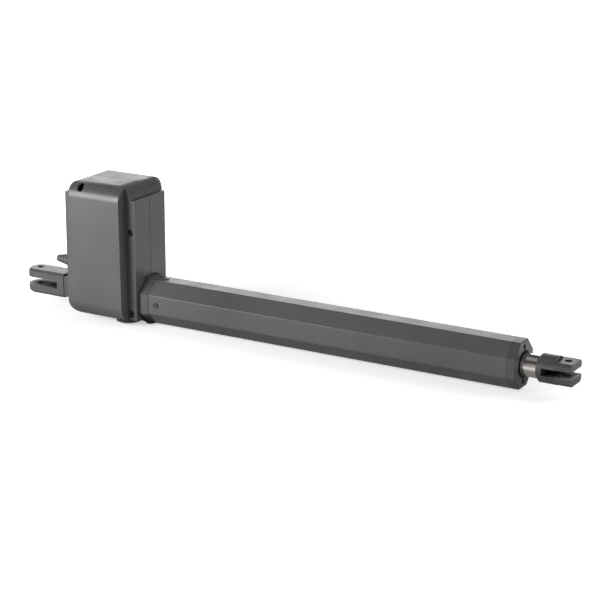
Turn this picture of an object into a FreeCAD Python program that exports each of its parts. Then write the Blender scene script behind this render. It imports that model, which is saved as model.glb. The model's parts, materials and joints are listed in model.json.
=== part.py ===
# Linear gate operator. A motor in a cast housing turns a worm wheel, the wheel turns a lead
# screw, and the screw pushes a rod with a fork out of an eight-sided tube.
# Frame: the origin is on the rear pivot's axis, at the height of the tube's axis.
# +X runs along the rod to the front fork and +Z is up. Lengths are millimetres.
import FreeCAD, Part
import Sketcher
import math
import os
import re

Vector = FreeCAD.Vector
Rotation = FreeCAD.Rotation
os.makedirs("parts", exist_ok=True)
doc = FreeCAD.newDocument("gateOperator")

# Driving dimensions
sizes = {
    # Whole operator
    "pivotSpan": 842.5,
    "frontReach": 61.5,
    "pivotBore": 5.1,
    # Tube with eight sides, and the collar that it meets
    "tubeWidth": 58,
    "tubeHeight": 64,
    "tubeFlat": 23.5,
    "tubeSide": 27.2,
    "tubeWall": 3.5,
    "collarLong": 18,
    "collarProud": 0.6,
    "collarFlare": 3,
    "collarRoot": 5,
    "tubePlay": 0.15,
    "spigotLength": 26,
    # Housing of two half covers
    "wallLeft": 82,
    "wallRight": 194,
    "housingBottom": 27,
    "housingTop": 170,
    "coverHalf": 55,
    "coverWall": 3,
    "edgeRound": 22,
    "wallDraft": 1.8,
    "padHalf": 38,
    "padProud": 4,
    "padTop": 151,
    "panelLeft": 98.5,
    "panelRight": 181.5,
    "panelLeanLeft": 8,
    "panelLeanRight": 2.5,
    "panelRound": 22,
    "padRound": 6,
    "innerRound": 1,
    "seamGap": 0.8,
    "seamInset": 0.7,
    "openingPlay": 0.4,
    # Cover screws: places, then the screw itself
    "topScrewX": 114,
    "topScrewZ": 162.6,
    "frontScrewX": 190,
    "middleScrewZ": 104,
    "lowScrewZ": 16,
    "rearScrewX": 86,
    "rearScrewZ": 57,
    "coverBoss": 7,
    "rearBoss": 6.2,
    "coverSink": 5.2,
    "coverSinkDepth": 5,
    "coverHead": 4,
    "coverHeadHeight": 3.2,
    "coverShank": 2,
    "coverScrewLength": 48,
    "lowScrewLength": 16,
    "threadPlay": 0.05,
    # Gear case
    "caseRear": 104,
    "caseEnd": 181,
    "caseSide": 29.5,
    "caseNear": 34.4,
    "caseFar": 28,
    "caseBottom": 23.4,
    "caseTop": 30,
    "caseWall": 5,
    "caseFloor": 3.4,
    "caseRearWall": 10,
    "caseBore": 12.5,
    "caseLip": 0.6,
    "seatInset": 2,
    "lidThick": 4,
    "lidScrewInset": 5,
    "lidScrewLength": 9,
    "smallHead": 3.5,
    "smallHeadHeight": 2.6,
    "smallShank": 2,
    "screwKey": 2,
    # Rear fork
    "forkHalf": 17.5,
    "forkRise": 18,
    "forkEdge": 3.5,
    "forkRoot": 54,
    "rearSlotEnd": 42,
    "rearSlotHalf": 5.9,
    "neckHalf": 16.5,
    "neckRise": 15.5,
    "flangeThick": 10,
    "flangeHalf": 28,
    "flangeTop": 26,
    "flangeBottom": 18.5,
    "boltY": 22,
    "boltTop": 20,
    "boltBottom": 12.5,
    "boltHead": 5,
    "boltHeadHeight": 5,
    "boltSink": 5.2,
    "boltShank": 3,
    "boltLength": 14,
    "boltKey": 2.6,
    # Worm and wheel
    "gearModule": 1.5,
    "wheelTeeth": 20,
    "wormPitch": 7,
    "wormX": 150,
    "wheelWidth": 14,
    "toothPlay": 0.29,
    "toothRise": 1.3,
    "tipAngle": 25,
    "wormHalf": 12,
    "wormStep": 2,
    "wormBore": 3.2,
    "runPlay": 0.05,
    # Lead screw
    "screwRadius": 8,
    "tipReach": 9,
    "threadStart": 200,
    "threadPitch": 4,
    "threadDepth": 1.5,
    "threadCrest": 1.8,
    "rearJournal": 6,
    "frontJournal": 8.5,
    "shoulderRadius": 10.5,
    "shoulderWide": 3,
    "rearBearing": 14,
    "rearBearingWide": 8,
    "frontBearing": 17.5,
    "frontBearingWide": 10,
    "raceThick": 2.6,
    "shieldPlay": 0.3,
    "tipGuide": 8,
    # Clutch between wheel and screw
    "dogHeight": 3.5,
    "dogInner": 9.2,
    "dogOuter": 13.6,
    "dogAngle": 54,
    "dogPlay": 0.3,
    "dogSink": 0.5,
    "sleeveRadius": 14.5,
    "sleeveLength": 14,
    "grooveRadius": 12,
    "grooveWide": 4,
    "forkPlay": 0.3,
    "clutchTravel": 4.5,
    "keyWide": 5,
    "keyDeep": 5,
    "keyRise": 2.4,
    "keyPlay": 0.05,
    "clutchForkOuter": 18.5,
    "clutchForkRise": 5,
    "footTop": 16.6,
    "footThick": 2.6,
    "footEdge": 0.7,
    "footNear": 4,
    "footFar": 9,
    "pinRadius": 1.6,
    "pinDeep": 1.4,
    "pinLift": 0.3,
    # Release knob under the housing
    "knobX": 172,
    "knobY": 20,
    "knobRadius": 18,
    "knobThick": 3.8,
    "knobBottom": 32,
    "knobNeck": 7,
    "camRadius": 12,
    "camThick": 3.2,
    "camLift": 0.3,
    "camStart": 9,
    "camTurn": 90,
    "camPlay": 0.25,
    "knobScrewShank": 1.5,
    "knobScrewHead": 3.4,
    "knobScrewRise": 1.8,
    "knobScrewDeep": 3,
    "knobSlot": 1.4,
    "knobSlotDeep": 1.6,
    # Motor
    "canRadius": 28,
    "canWall": 2.4,
    "canTop": 132,
    "bellRise": 8,
    "capRise": 10,
    "bellSpigot": 13,
    "magnetThick": 4.6,
    "magnetAngle": 124,
    "magnetGap": 0.1,
    "magnetLap": 2,
    "rotorGap": 0.7,
    "stackBottom": 54,
    "stackTop": 110,
    "stackSlots": 12,
    "slotWide": 2.4,
    "slotDeep": 6,
    "windingRadius": 15,
    "windingRise": 9,
    "windingPlay": 0.5,
    "commutatorRadius": 9,
    "commutatorRise": 9,
    "brushWide": 6,
    "brushLong": 9,
    "brushPlay": 0.2,
    "brushShell": 1.5,
    "brushPlate": 3,
    "brushRim": 3,
    "rotorShaft": 5,
    "shaftPlay": 0.3,
    "shaftWay": 2,
    "topJournal": 4,
    "motorBearing": 11,
    "motorBearingWide": 6,
    "topBearing": 9.5,
    "topBearingWide": 5,
    "wormBearing": 8,
    "wormBearingWide": 4,
    "motorBoltRadius": 2,
    "motorBoltHead": 3.5,
    "motorBoltEdge": 0.3,
    "encoderMagnet": 8,
    "encoderGap": 1,
    "encoderRise": 5,
    "encoderBoard": 13,
    "encoderBase": 142,
    "encoderPost": 7,
    "encoderPin": 1.8,
    "boardThick": 1.6,
    # Terminal board
    "boardLeft": 96,
    "boardRight": 176,
    "boardLow": 46,
    "boardHigh": 124,
    "boardY": 33,
    "boardPost": 3.5,
    "boardInset": 5,
    "boardShank": 1.4,
    "boardScrewLength": 8,
    "boardHead": 2.6,
    "boardHeadHeight": 1.8,
    "boardKey": 1.2,
    "terminalInset": 14,
    "terminalRise": 10,
    "terminalLong": 50,
    "terminalDeep": 10,
    "terminalTall": 12,
    "terminalPoles": 5,
    "poleHalf": 3,
    "poleTall": 6,
    "poleBack": 1.5,
    "poleScrew": 2.4,
    "poleScrewRise": 8,
    "capacitorInset": 16,
    "capacitorDrop": 10,
    "capacitorRadius": 8,
    "capacitorLong": 34,
    # Cable gland
    "glandY": 20,
    "glandZ": 43.4,
    "glandHex": 10,
    "glandHexLong": 5,
    "glandThread": 6,
    "glandNutWide": 5,
    "glandNutRim": 1.2,
    "glandBore": 4,
    "bootRoot": 9.4,
    "bootTip": 4.8,
    "bootLength": 24,
    "bootRibs": 4,
    "bootGroove": 0.9,
    # Front end
    "capLength": 12.5,
    "insertLength": 28,
    "rodRadius": 15.5,
    "rodBore": 11,
    "bushRadius": 18.4,
    "wiperRadius": 18.8,
    "wiperLong": 6,
    "wiperSunk": 2.4,
    "capScrewZ": 23.4,
    "capScrewLength": 14,
    "capSink": 3.9,
    "capSinkDepth": 4,
    "notchWide": 5,
    "notchDeep": 2.4,
    "notchBack": 6,
    "tubeScrewBack": 13,
    "tubeScrewHead": 3.6,
    "tubeScrewLength": 9,
    "tubeScrewRise": 1.6,
    "tubeScrewKey": 1.6,
    # Rod, nut and stops
    "nutFlange": 18,
    "nutFlangeWide": 6,
    "nutLength": 26,
    "nutPlay": 0.3,
    "guidePlay": 0.4,
    "guideLength": 18,
    "stopLength": 10,
    "stopGap": 59.5,
    "bufferLength": 5,
    "bufferGap": 3,
    "stopBore": 17,
    "bufferRim": 4,
    "crossPin": 2,
    "pinShort": 0.3,
    "nutPinBack": 4,
    "forkPinBack": 6,
    # Front fork
    "bossRear": 22.5,
    "bossEnd": 50,
    "bossRadius": 19.2,
    "bossEdge": 3.6,
    "bossBreak": 0.8,
    "earRound": 1.2,
    "earTip": 73,
    "earHalf": 17,
    "earRise": 15,
    "frontSlotStart": 31,
    "frontSlotHalf": 5,
    "shankLength": 26,
}

# Places that follow from the sizes
places = {
    "collarFront": "=wallRight + collarLong",
    "rodRear": "=collarFront + spigotLength + bufferLength + bufferGap + nutFlangeWide",
    "tubeScrewX": "=collarFront + tubeScrewBack",
    "stopRear": "=pivotSpan - frontReach - capLength - insertLength - stopGap - stopLength",
    "screwTip": "=stopRear + stopLength + tipReach",
}

sheet = doc.addObject("Spreadsheet::Sheet", "Dim")
known = {**sizes, **places}
for row, (name, value) in enumerate(known.items(), start=1):
    sheet.set(f"A{row}", str(value))
    sheet.setAlias(f"A{row}", name)
doc.recompute()

nodes = []
turns = {
    "X": Rotation(Vector(0, 0, 1), Vector(1, 0, 0)),
    "Y": Rotation(Vector(0, 0, 1), Vector(0, 1, 0)),
    "Z": Rotation(),
}


# A rule is written with bare size names, and this puts the sheet's name before each.
def full(rule):
    return re.sub(r"[A-Za-z]\w*", lambda word: "Dim." + word[0] if word[0] in known else word[0], rule)


def size(name):
    return float(getattr(sheet, name))


def bind(item, target, rule):
    item.setExpression(target, full(rule))


def place(item, x="0", y="0", z="0"):
    for axis, rule in zip("xyz", (x, y, z)):
        bind(item, "Placement.Base." + axis, rule)
    return item


def finish(item, label):
    item.Label = label
    nodes.append(item)
    return item


# A box between two places along each axis
def box(name, x, y, z):
    item = doc.addObject("Part::Box", name)
    for target, (low, high) in zip(("Length", "Width", "Height"), (x, y, z)):
        bind(item, target, f"({high}) - ({low})")
    return place(item, x[0], y[0], z[0])


# A round bar along an axis, between two places, through a centre in the plane across it
def bar(name, axis, centre, span, radius):
    item = doc.addObject("Part::Cylinder", name)
    bind(item, "Radius", radius)
    bind(item, "Height", f"({span[1]}) - ({span[0]})")
    item.Placement = FreeCAD.Placement(Vector(), turns[axis])
    spots = {"X": (span[0], *centre), "Y": (centre[0], span[0], centre[1]), "Z": (*centre, span[0])}
    return place(item, *spots[axis])


# A hexagonal bar with its corners at a given radius
def hexagon(name, axis, centre, span, radius):
    item = doc.addObject("Part::Prism", name)
    item.Polygon = 6
    bind(item, "Circumradius", radius)
    bind(item, "Height", f"({span[1]}) - ({span[0]})")
    item.Placement = FreeCAD.Placement(Vector(), turns[axis])
    spots = {"X": (span[0], *centre), "Y": (centre[0], span[0], centre[1]), "Z": (*centre, span[0])}
    return place(item, *spots[axis])


def join(name, *items):
    item = doc.addObject("Part::MultiFuse", name)
    item.Shapes = list(items)
    item.Refine = True
    return item


def cut(name, base, *tools):
    item = doc.addObject("Part::Cut", name)
    item.Base = base
    item.Tool = tools[0] if len(tools) == 1 else join(name + "Tools", *tools)
    return item


def common(name, first, second):
    item = doc.addObject("Part::Common", name)
    item.Base = first
    item.Tool = second
    return item


def group(name, items):
    item = doc.addObject("Part::Compound", name)
    item.Links = list(items)
    return item


def ring(name, axis, centre, span, outer, inner):
    rim = bar(name + "Rim", axis, centre, span, outer)
    hole = bar(name + "Hole", axis, centre, span, inner)
    return cut(name, rim, hole)


# A sketch of closed outlines with every corner tied to the sheet
def outline(body, name, plane, loops, offset="0"):
    sketch = body.newObject("Sketcher::SketchObject", name)
    face = [item for item in body.Origin.OriginFeatures if item.Role == plane + "_Plane"][0]
    sketch.AttachmentSupport = [(face, "")]
    sketch.MapMode = "FlatFace"
    bind(sketch, "AttachmentOffset.Base.z", offset)
    rules = []
    for loop in loops:
        count = len(loop)
        first = sketch.GeometryCount
        spots = [Vector(50 * math.cos(2 * math.pi * i / count), 50 * math.sin(2 * math.pi * i / count), 0)
                 for i in range(count)]
        sketch.addGeometry([Part.LineSegment(spots[i], spots[(i + 1) % count]) for i in range(count)], False)
        ties = [Sketcher.Constraint("Coincident", first + i, 2, first + (i + 1) % count, 1)
                for i in range(count)]
        start = sketch.ConstraintCount + count
        for i in range(count):
            ties.append(Sketcher.Constraint("DistanceX", -1, 1, first + i, 1, spots[i].x))
            ties.append(Sketcher.Constraint("DistanceY", -1, 1, first + i, 1, spots[i].y))
            rules.append((start + 2 * i, loop[i][0]))
            rules.append((start + 2 * i + 1, loop[i][1]))
        sketch.addConstraint(ties)
    for index, rule in rules:
        bind(sketch, f"Constraints[{index}]", rule)
    return sketch


# A body padded from a sketch. On the XZ plane the pad runs towards -Y.
def prism(name, plane, loops, low, high):
    body = doc.addObject("PartDesign::Body", name)
    offset = f"-({high})" if plane == "XZ" else low
    sketch = outline(body, name + "Outline", plane, loops, offset)
    pad = body.newObject("PartDesign::Pad", name + "Pad")
    pad.Profile = sketch
    bind(pad, "Length", f"({high}) - ({low})")
    body.Tip = pad
    return body


# A body that runs from one outline across X to another
def tapered(name, first, second, low, high):
    body = doc.addObject("PartDesign::Body", name)
    start = outline(body, name + "Start", "YZ", [first], low)
    end = outline(body, name + "End", "YZ", [second], high)
    loft = body.newObject("PartDesign::AdditiveLoft", name + "Loft")
    loft.Profile = start
    loft.Sections = [end]
    loft.Ruled = True
    body.Tip = loft
    return body


# A body turned about X or Z from pairs of place along the axis and radius
def turned(name, axis, profile, y="0", z="0", x="0"):
    body = doc.addObject("PartDesign::Body", name)
    loop = profile if axis == "X" else [(radius, along) for along, radius in profile]
    sketch = outline(body, name + "Outline", "XZ", [loop])
    spin = body.newObject("PartDesign::Revolution", name + "Spin")
    spin.Profile = sketch
    spin.ReferenceAxis = (sketch, ["H_Axis" if axis == "X" else "V_Axis"])
    spin.Angle = 360
    body.Tip = spin
    return place(body, x, y, z)


# Rounds or bevels the edges that a test picks, once the body has a shape
def dressed(body, kind, name, target, rule, picks):
    doc.recompute()
    base = body.Tip
    edges = [f"Edge{i}" for i, edge in enumerate(base.Shape.Edges, start=1) if picks(edge)]
    feature = body.newObject("PartDesign::" + kind, name)
    feature.Base = (base, edges)
    bind(feature, target, rule)
    body.Tip = feature
    return body


def rounded(body, name, radius, picks):
    return dressed(body, "Fillet", name, "Radius", radius, picks)


def chamfered(body, name, width, picks):
    return dressed(body, "Chamfer", name, "Size", width, picks)


# The eight corners of the tube's section, moved outwards by a rule
def octagon(grow):
    lean = "atan((tubeHeight - tubeSide) / (tubeWidth - tubeFlat))"
    flat = f"(tubeFlat / 2 + ({grow}) * tan({lean} / 2))"
    side = f"(tubeSide / 2 + ({grow}) * tan(45 deg - {lean} / 2))"
    half = f"(tubeWidth / 2 + ({grow}))"
    rise = f"(tubeHeight / 2 + ({grow}))"
    return [(half, side), (flat, rise), ("-" + flat, rise), ("-" + half, side),
            ("-" + half, "-" + side), ("-" + flat, "-" + rise), (flat, "-" + rise), (half, "-" + side)]


# A cap screw along an axis. Way is + or - for the side that the head faces.
def screw(name, axis, centre, seat, way, head, rise, shank, length, key="screwKey"):
    top = f"({seat}) + {rise}" if way == "+" else seat
    base = seat if way == "+" else f"({seat}) - {rise}"
    end = (f"({seat}) - ({length})", seat) if way == "+" else (seat, f"({seat}) + ({length})")
    knob = bar(name + "Head", axis, centre, (base, top), head)
    stem = bar(name + "Stem", axis, centre, end, shank)
    deep = (f"({base}) - 1", f"({base}) + {rise} / 2")
    if way == "+":
        deep = (f"({top}) - {rise} / 2", f"({top}) + 1")
    socket = hexagon(name + "Socket", axis, centre, deep, key)
    return cut(name, join(name + "Solid", knob, stem), socket)


# Places along X that several pieces share
capFace = "(pivotSpan - frontReach)"
tubeFront = f"({capFace} - capLength)"
caseFront = "(wallRight - padProud)"
wormY = "-(wormPitch + gearModule * wheelTeeth / 2)"
wheelRear = "(wormX - wheelWidth / 2)"
wheelFront = "(wormX + wheelWidth / 2)"
sleeveRear = f"({wheelFront} + dogPlay + dogHeight)"
sleeveFront = f"({sleeveRear} + sleeveLength)"
frontSeat = "(caseEnd + 1)"
collarStart = f"({caseFront} + caseLip)"
flareStart = "(wallRight + padProud + openingPlay)"
wormSeat = "(-wormHalf - wormStep)"
shaftLow = f"({wormSeat} - wormBearingWide + shaftPlay)"
grooveRear = f"({sleeveRear} + sleeveLength / 2)"
grooveFront = f"({grooveRear} + grooveWide)"
keySpan = (f"{sleeveRear} + 0.2", "caseEnd - 0.5")
camTop = "(-housingBottom + coverWall + camLift + camThick)"
glandSeat = "(wallLeft + coverWall + 0.4)"


# Front and rear half covers: one rounded block with a hollow, split at the tube's middle
def shell(name, inset):
    left = f"(wallLeft + {inset})"
    right = f"(wallRight - {inset})"
    low = f"(-housingBottom + {inset})"
    high = f"(housingTop - {inset})"
    half = f"(coverHalf - {inset})"
    radius = f"edgeRound - {inset}"
    side = [(left, low), (right, low), (f"{right} - wallDraft", high), (f"{left} + wallDraft", high)]
    length = prism(name + "Side", "XZ", [side], f"-{half}", half)
    spread = size("wallRight") - size("wallLeft")
    corner = size("wallRight") - spread / 4
    floor = -size("housingBottom") / 2
    rounded(length, name + "SideRound", radius, lambda edge: across(edge, "y")
            and not (edge.CenterOfMass.x > corner and edge.CenterOfMass.z < floor))
    face = [(f"-{half}", low), (half, low), (half, high), (f"-{half}", high)]
    width = prism(name + "Face", "YZ", [face], "wallLeft - 5", "wallRight + 5")
    rounded(width, name + "FaceRound", radius, lambda edge: across(edge, "x"))
    return common(name + "Block", length, width)


# True for a straight edge that runs along one axis
def across(edge, axis):
    if edge.Curve.TypeId != "Part::GeomLine":
        return False
    return abs(getattr(edge.Curve.Direction, axis)) > 0.999


# What stays of the block: a core over its whole length, and the panels that stand out of it
def stepped(name, block, inset, corner):
    half = f"(padHalf - {inset})"
    low = f"(-housingBottom + {inset})"
    above = "housingTop + 20"
    section = [(f"-{half}", low), (half, low), (half, above), (f"-{half}", above)]
    core = prism(name + "Core", "YZ", [section], "wallLeft - padProud - 5", "wallRight + padProud + 5")
    floor = -size("housingBottom") / 2
    rounded(core, name + "CoreRound", corner, lambda edge: across(edge, "x") and edge.CenterOfMass.z < floor)
    left = f"(panelLeft + {inset})"
    right = f"(panelRight - {inset})"
    loop = [(f"{left} - panelLeanLeft", low), (f"{right} + panelLeanRight", low), (right, above),
            (left, above)]
    panel = prism(name + "Panel", "XZ", [loop], "-coverHalf - 5", "coverHalf + 5")
    middle = (size("panelLeft") + size("panelRight")) / 2
    rounded(panel, name + "PanelRound", f"panelRound - {inset}", lambda edge: across(edge, "y")
            and edge.CenterOfMass.z < floor and edge.CenterOfMass.x < middle)
    return common(name, join(name + "Plan", core, panel), block)


def boardSpots():
    return [(x, z) for x in ("boardLeft + boardInset", "boardRight - boardInset")
            for z in ("boardLow + boardInset", "boardHigh - boardInset")]


# The raised face on the tube's side of the housing, rounded along its lower edges
def padRight(name, start, end, inset, corner):
    half = f"(padHalf - {inset})"
    low = f"(-housingBottom + {inset})"
    high = f"(padTop - {inset})"
    section = [(f"-{half}", low), (half, low), (half, high), (f"-{half}", high)]
    pad = prism(name, "YZ", [section], start, end)
    floor = -size("housingBottom") / 2
    return rounded(pad, name + "Round", corner, lambda edge: across(edge, "x")
                   and edge.CenterOfMass.z < floor)


# Two half covers that meet on a cord of rubber, with steps, pads, screw bosses and openings
def covers():
    steps = stepped("ShellStepped", shell("Outer", "0"), "0", "padRound")
    left = "wallLeft - padProud"
    right = "wallRight + padProud"
    padLow = "-housingBottom + edgeRound"
    pads = [box("PadLeft", (left, "wallLeft + edgeRound / 2"), ("-padHalf", "padHalf"), (padLow, "padTop")),
            padRight("PadRight", "wallRight - edgeRound / 2", right, "0", "padRound")]
    span = ("-padHalf + coverWall", "padHalf - coverWall")
    hollows = [box("PadHollowLeft", (left + " + coverWall", "wallLeft + edgeRound"), span,
                   (padLow + " + coverWall", "padTop - coverWall")),
               padRight("PadHollowRight", "wallRight - edgeRound", right + " - coverWall", "coverWall",
                        "innerRound")]
    inner = stepped("HollowStepped", shell("Inner", "coverWall"), "coverWall", "innerRound")
    walls = cut("Walls", join("ShellSolid", steps, *pads), join("Hollow", inner, *hollows))
    bosses = []
    holes = []
    through = {"Top": ("topScrewX", "topScrewZ", "coverBoss"),
               "Middle": ("frontScrewX", "middleScrewZ", "coverBoss"),
               "Rear": ("rearScrewX", "rearScrewZ", "rearBoss")}
    for word, (x, z, radius) in through.items():
        bosses.append(bar("Boss" + word, "Y", (x, z), ("-padHalf", "padHalf - coverWall"), radius))
        holes.append(bar("Sink" + word, "Y", (x, z), ("-coverHalf - 5", "-padHalf + coverSinkDepth"),
                         "coverSink"))
        holes.append(bar("Way" + word, "Y", (x, z),
                         ("-padHalf", "-padHalf + coverSinkDepth + coverScrewLength + 1"),
                         "coverShank + threadPlay"))
    low = ("frontScrewX", "-lowScrewZ")
    edge = "(tubeWidth / 2 + 2 * openingPlay)"
    holes.append(bar("SinkLowNear", "Y", low, ("-coverHalf - 5", "-padHalf + coverSinkDepth"), "coverSink"))
    holes.append(bar("SinkLowFar", "Y", low, ("padHalf - coverSinkDepth", "coverHalf + 5"), "coverSink"))
    for word, span in (("Near", ("-padHalf", "-" + edge)), ("Far", (edge, "padHalf"))):
        bosses.append(bar("BossLow" + word, "Y", low, span, "coverBoss"))
        holes.append(bar("WayLow" + word, "Y", low, span, "coverShank + threadPlay"))
    for index, spot in enumerate(boardSpots()):
        bosses.append(bar(f"Post{index}", "Y", spot, ("boardY + boardThick", "coverHalf - coverWall / 2"),
                          "boardPost"))
        holes.append(bar(f"PostHole{index}", "Y", spot, ("boardY", "boardY + boardScrewLength + 1"),
                         "boardShank + threadPlay"))
    holes.append(prism("CollarOpening", "YZ", [octagon("collarProud + openingPlay")], caseFront,
                       "wallRight + 10"))
    holes.append(box("NeckOpening", ("wallLeft - 10", "caseRear"),
                     ("-(neckHalf + openingPlay)", "neckHalf + openingPlay"),
                     ("-(neckRise + openingPlay)", "neckRise + openingPlay")))
    holes.append(bar("KnobOpening", "Z", ("knobX", "-knobY"), ("-housingBottom - 5", "-housingBottom + 5"),
                     "knobNeck + openingPlay"))
    holes.append(bar("GlandOpening", "X", ("-glandY", "glandZ"), ("wallLeft - 10", "wallLeft + 10"),
                     "glandThread + threadPlay"))
    whole = cut("CoverWhole", join("CoverSolid", walls, *bosses), *holes)
    span = (("0", "wallRight + 20"), ("-housingBottom - 10", "housingTop + 10"))
    near = box("NearHalf", span[0], ("-coverHalf - 5", "-seamGap / 2"), span[1])
    far = box("FarHalf", span[0], ("seamGap / 2", "coverHalf + 5"), span[1])
    finish(common("NearCut", whole, near), "front_cover")
    finish(common("FarCut", whole, far), "rear_cover")
    rim = cut("SealRim", shell("SealOuter", "seamInset"), shell("SealInner", "coverWall"))
    slab = box("SealSlab", span[0], ("-seamGap / 2", "seamGap / 2"), span[1])
    finish(cut("Seal", common("SealBand", rim, slab), *holes, *hollows), "cover_seal")
    screws = [screw("CoverScrew" + word, "Y", (x, z), "-padHalf + coverSinkDepth", "-", "coverHead",
                    "coverHeadHeight", "coverShank", "coverScrewLength")
              for word, (x, z, radius) in through.items()]
    screws.append(screw("CoverScrewNear", "Y", low, "-padHalf + coverSinkDepth", "-", "coverHead",
                        "coverHeadHeight", "coverShank", "lowScrewLength"))
    screws.append(screw("CoverScrewFar", "Y", low, "padHalf - coverSinkDepth", "+", "coverHead",
                        "coverHeadHeight", "coverShank", "lowScrewLength"))
    finish(group("CoverScrews", screws), "cover_screws")


# The cast case that holds the gears, carries the rear fork and plugs into the tube
def gearCase():
    rear = "caseRear"
    plate = "caseEnd"
    floor = "(-caseBottom + caseFloor)"
    body = box("CaseBody", (rear, plate), ("-caseNear", "caseFar"), ("-caseBottom", "caseTop"))
    front = box("CaseFront", (plate, collarStart), ("-caseSide", "caseSide"), ("-caseBottom", "caseTop"))
    neck = prism("CollarNeck", "YZ", [octagon("collarProud")], collarStart, "collarFront")
    flareEnd = f"({flareStart} + collarRoot)"
    flare = prism("CollarFlare", "YZ", [octagon("collarFlare")], flareStart, flareEnd)
    cone = tapered("CollarCone", octagon("collarFlare"), octagon("collarProud"), flareEnd, "collarFront")
    spigot = prism("Spigot", "YZ", [octagon("-tubeWall - tubePlay")], "collarFront",
                   "collarFront + spigotLength")
    hollow = box("CaseHollow", ("caseRear + caseRearWall", plate),
                 ("-caseNear + caseWall", "caseFar - caseWall"),
                 (floor, "caseTop + 1"))
    stand = bar("CaseStand", "Z", ("wormX", wormY), ("-caseBottom", wormSeat), "wormBearing + wormStep")
    block = join("CaseBlock", body, front, neck, flare, cone, spigot)
    solid = join("CaseSolid", cut("CaseOpen", block, hollow), stand)
    holes = [
        bar("CaseBore", "X", ("0", "0"), (plate + " - 1", "collarFront + spigotLength + 1"), "caseBore"),
        bar("CaseFrontSeat", "X", ("0", "0"), (plate + " - 1", frontSeat + " + frontBearingWide"),
            "frontBearing"),
        bar("CaseRearSeat", "X", ("0", "0"), (rear + " + seatInset", "caseRear + caseRearWall + 1"),
            "rearBearing"),
        bar("CaseWormWay", "Z", ("wormX", wormY), ("-wormHalf - 1", "caseTop + 1"),
            "wormPitch + gearModule + 1"),
        bar("CaseWormSeat", "Z", ("wormX", wormY), (f"{wormSeat} - wormBearingWide", "0"), "wormBearing"),
        bar("CaseCamHole", "Z", ("knobX", "-knobY"), ("-caseBottom - 1", floor), "camRadius + openingPlay"),
    ]
    holes += [bar("CaseLowWay" + word, "Y", ("frontScrewX", "-lowScrewZ"), span, "coverShank + threadPlay")
              for word, span in (("Near", ("-caseSide - 1", "-caseSide + lowScrewLength - 2")),
                                 ("Far", ("caseSide - lowScrewLength + 2", "caseSide + 1")))]
    holes += [bar(f"CaseLidHole{index}", "Z", spot, ("caseTop - lidScrewLength", "caseTop + 1"),
                  "smallShank + threadPlay") for index, spot in enumerate(lidSpots())]
    holes += [bar(f"CaseBoltHole{index}", "X", spot, ("caseRear - 1", "caseRear + caseRearWall + 1"),
                  "boltShank + threadPlay") for index, spot in enumerate(boltSpots())]
    holes += [bar("CaseTubeHole" + word, axis, spot, span, "smallShank + threadPlay")
              for word, axis, spot, span in tubeScrewWays()]
    finish(cut("Case", solid, *holes), "gear_case")
    lid = box("LidPlate", (rear, caseFront), ("-caseNear", "caseFar"), ("caseTop", "caseTop + lidThick"))
    ways = [bar("LidSpigotHole", "Z", ("wormX", wormY), ("caseTop - 1", "caseTop + lidThick + 1"),
                "bellSpigot + threadPlay")]
    ways += [bar(f"LidWay{index}", "Z", spot, ("caseTop - 1", "caseTop + lidThick + 1"),
                 "smallShank + threadPlay")
             for index, spot in enumerate(lidSpots() + motorBoltSpots())]
    finish(cut("Lid", lid, *ways), "case_lid")
    top = "caseTop + lidThick"
    screws = [screw(f"LidScrew{index}", "Z", spot, top, "+", "smallHead", "smallHeadHeight", "smallShank",
                    "lidScrewLength") for index, spot in enumerate(lidSpots())]
    finish(group("LidScrews", screws), "lid_screws")


def lidSpots():
    near = "-caseSide + lidScrewInset"
    far = "caseFar - lidScrewInset + 1"
    return [(x, y) for x in ("caseRear + lidScrewInset", caseFront + " - lidScrewInset") for y in (near, far)]


def boltSpots():
    return [(y, z) for y in ("-boltY", "boltY") for z in ("-boltBottom", "boltTop")]


def motorBoltSpots():
    reach = "(canRadius - canWall - motorBoltRadius - motorBoltEdge)"
    return [(f"wormX - {reach}", wormY), (f"wormX + {reach}", wormY)]


def tubeScrewWays():
    half = "tubeWidth / 2"
    side = f"({half} - tubeScrewLength - 1)"
    rise = "tubeHeight / 2"
    high = f"({rise} - tubeScrewLength - 1)"
    return [("Near", "Y", ("tubeScrewX", "0"), (f"-{half} - 1", "-" + side)),
            ("Far", "Y", ("tubeScrewX", "0"), (side, f"{half} + 1")),
            ("Top", "Z", ("tubeScrewX", "0"), (high, f"{rise} + 1"))]


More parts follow.
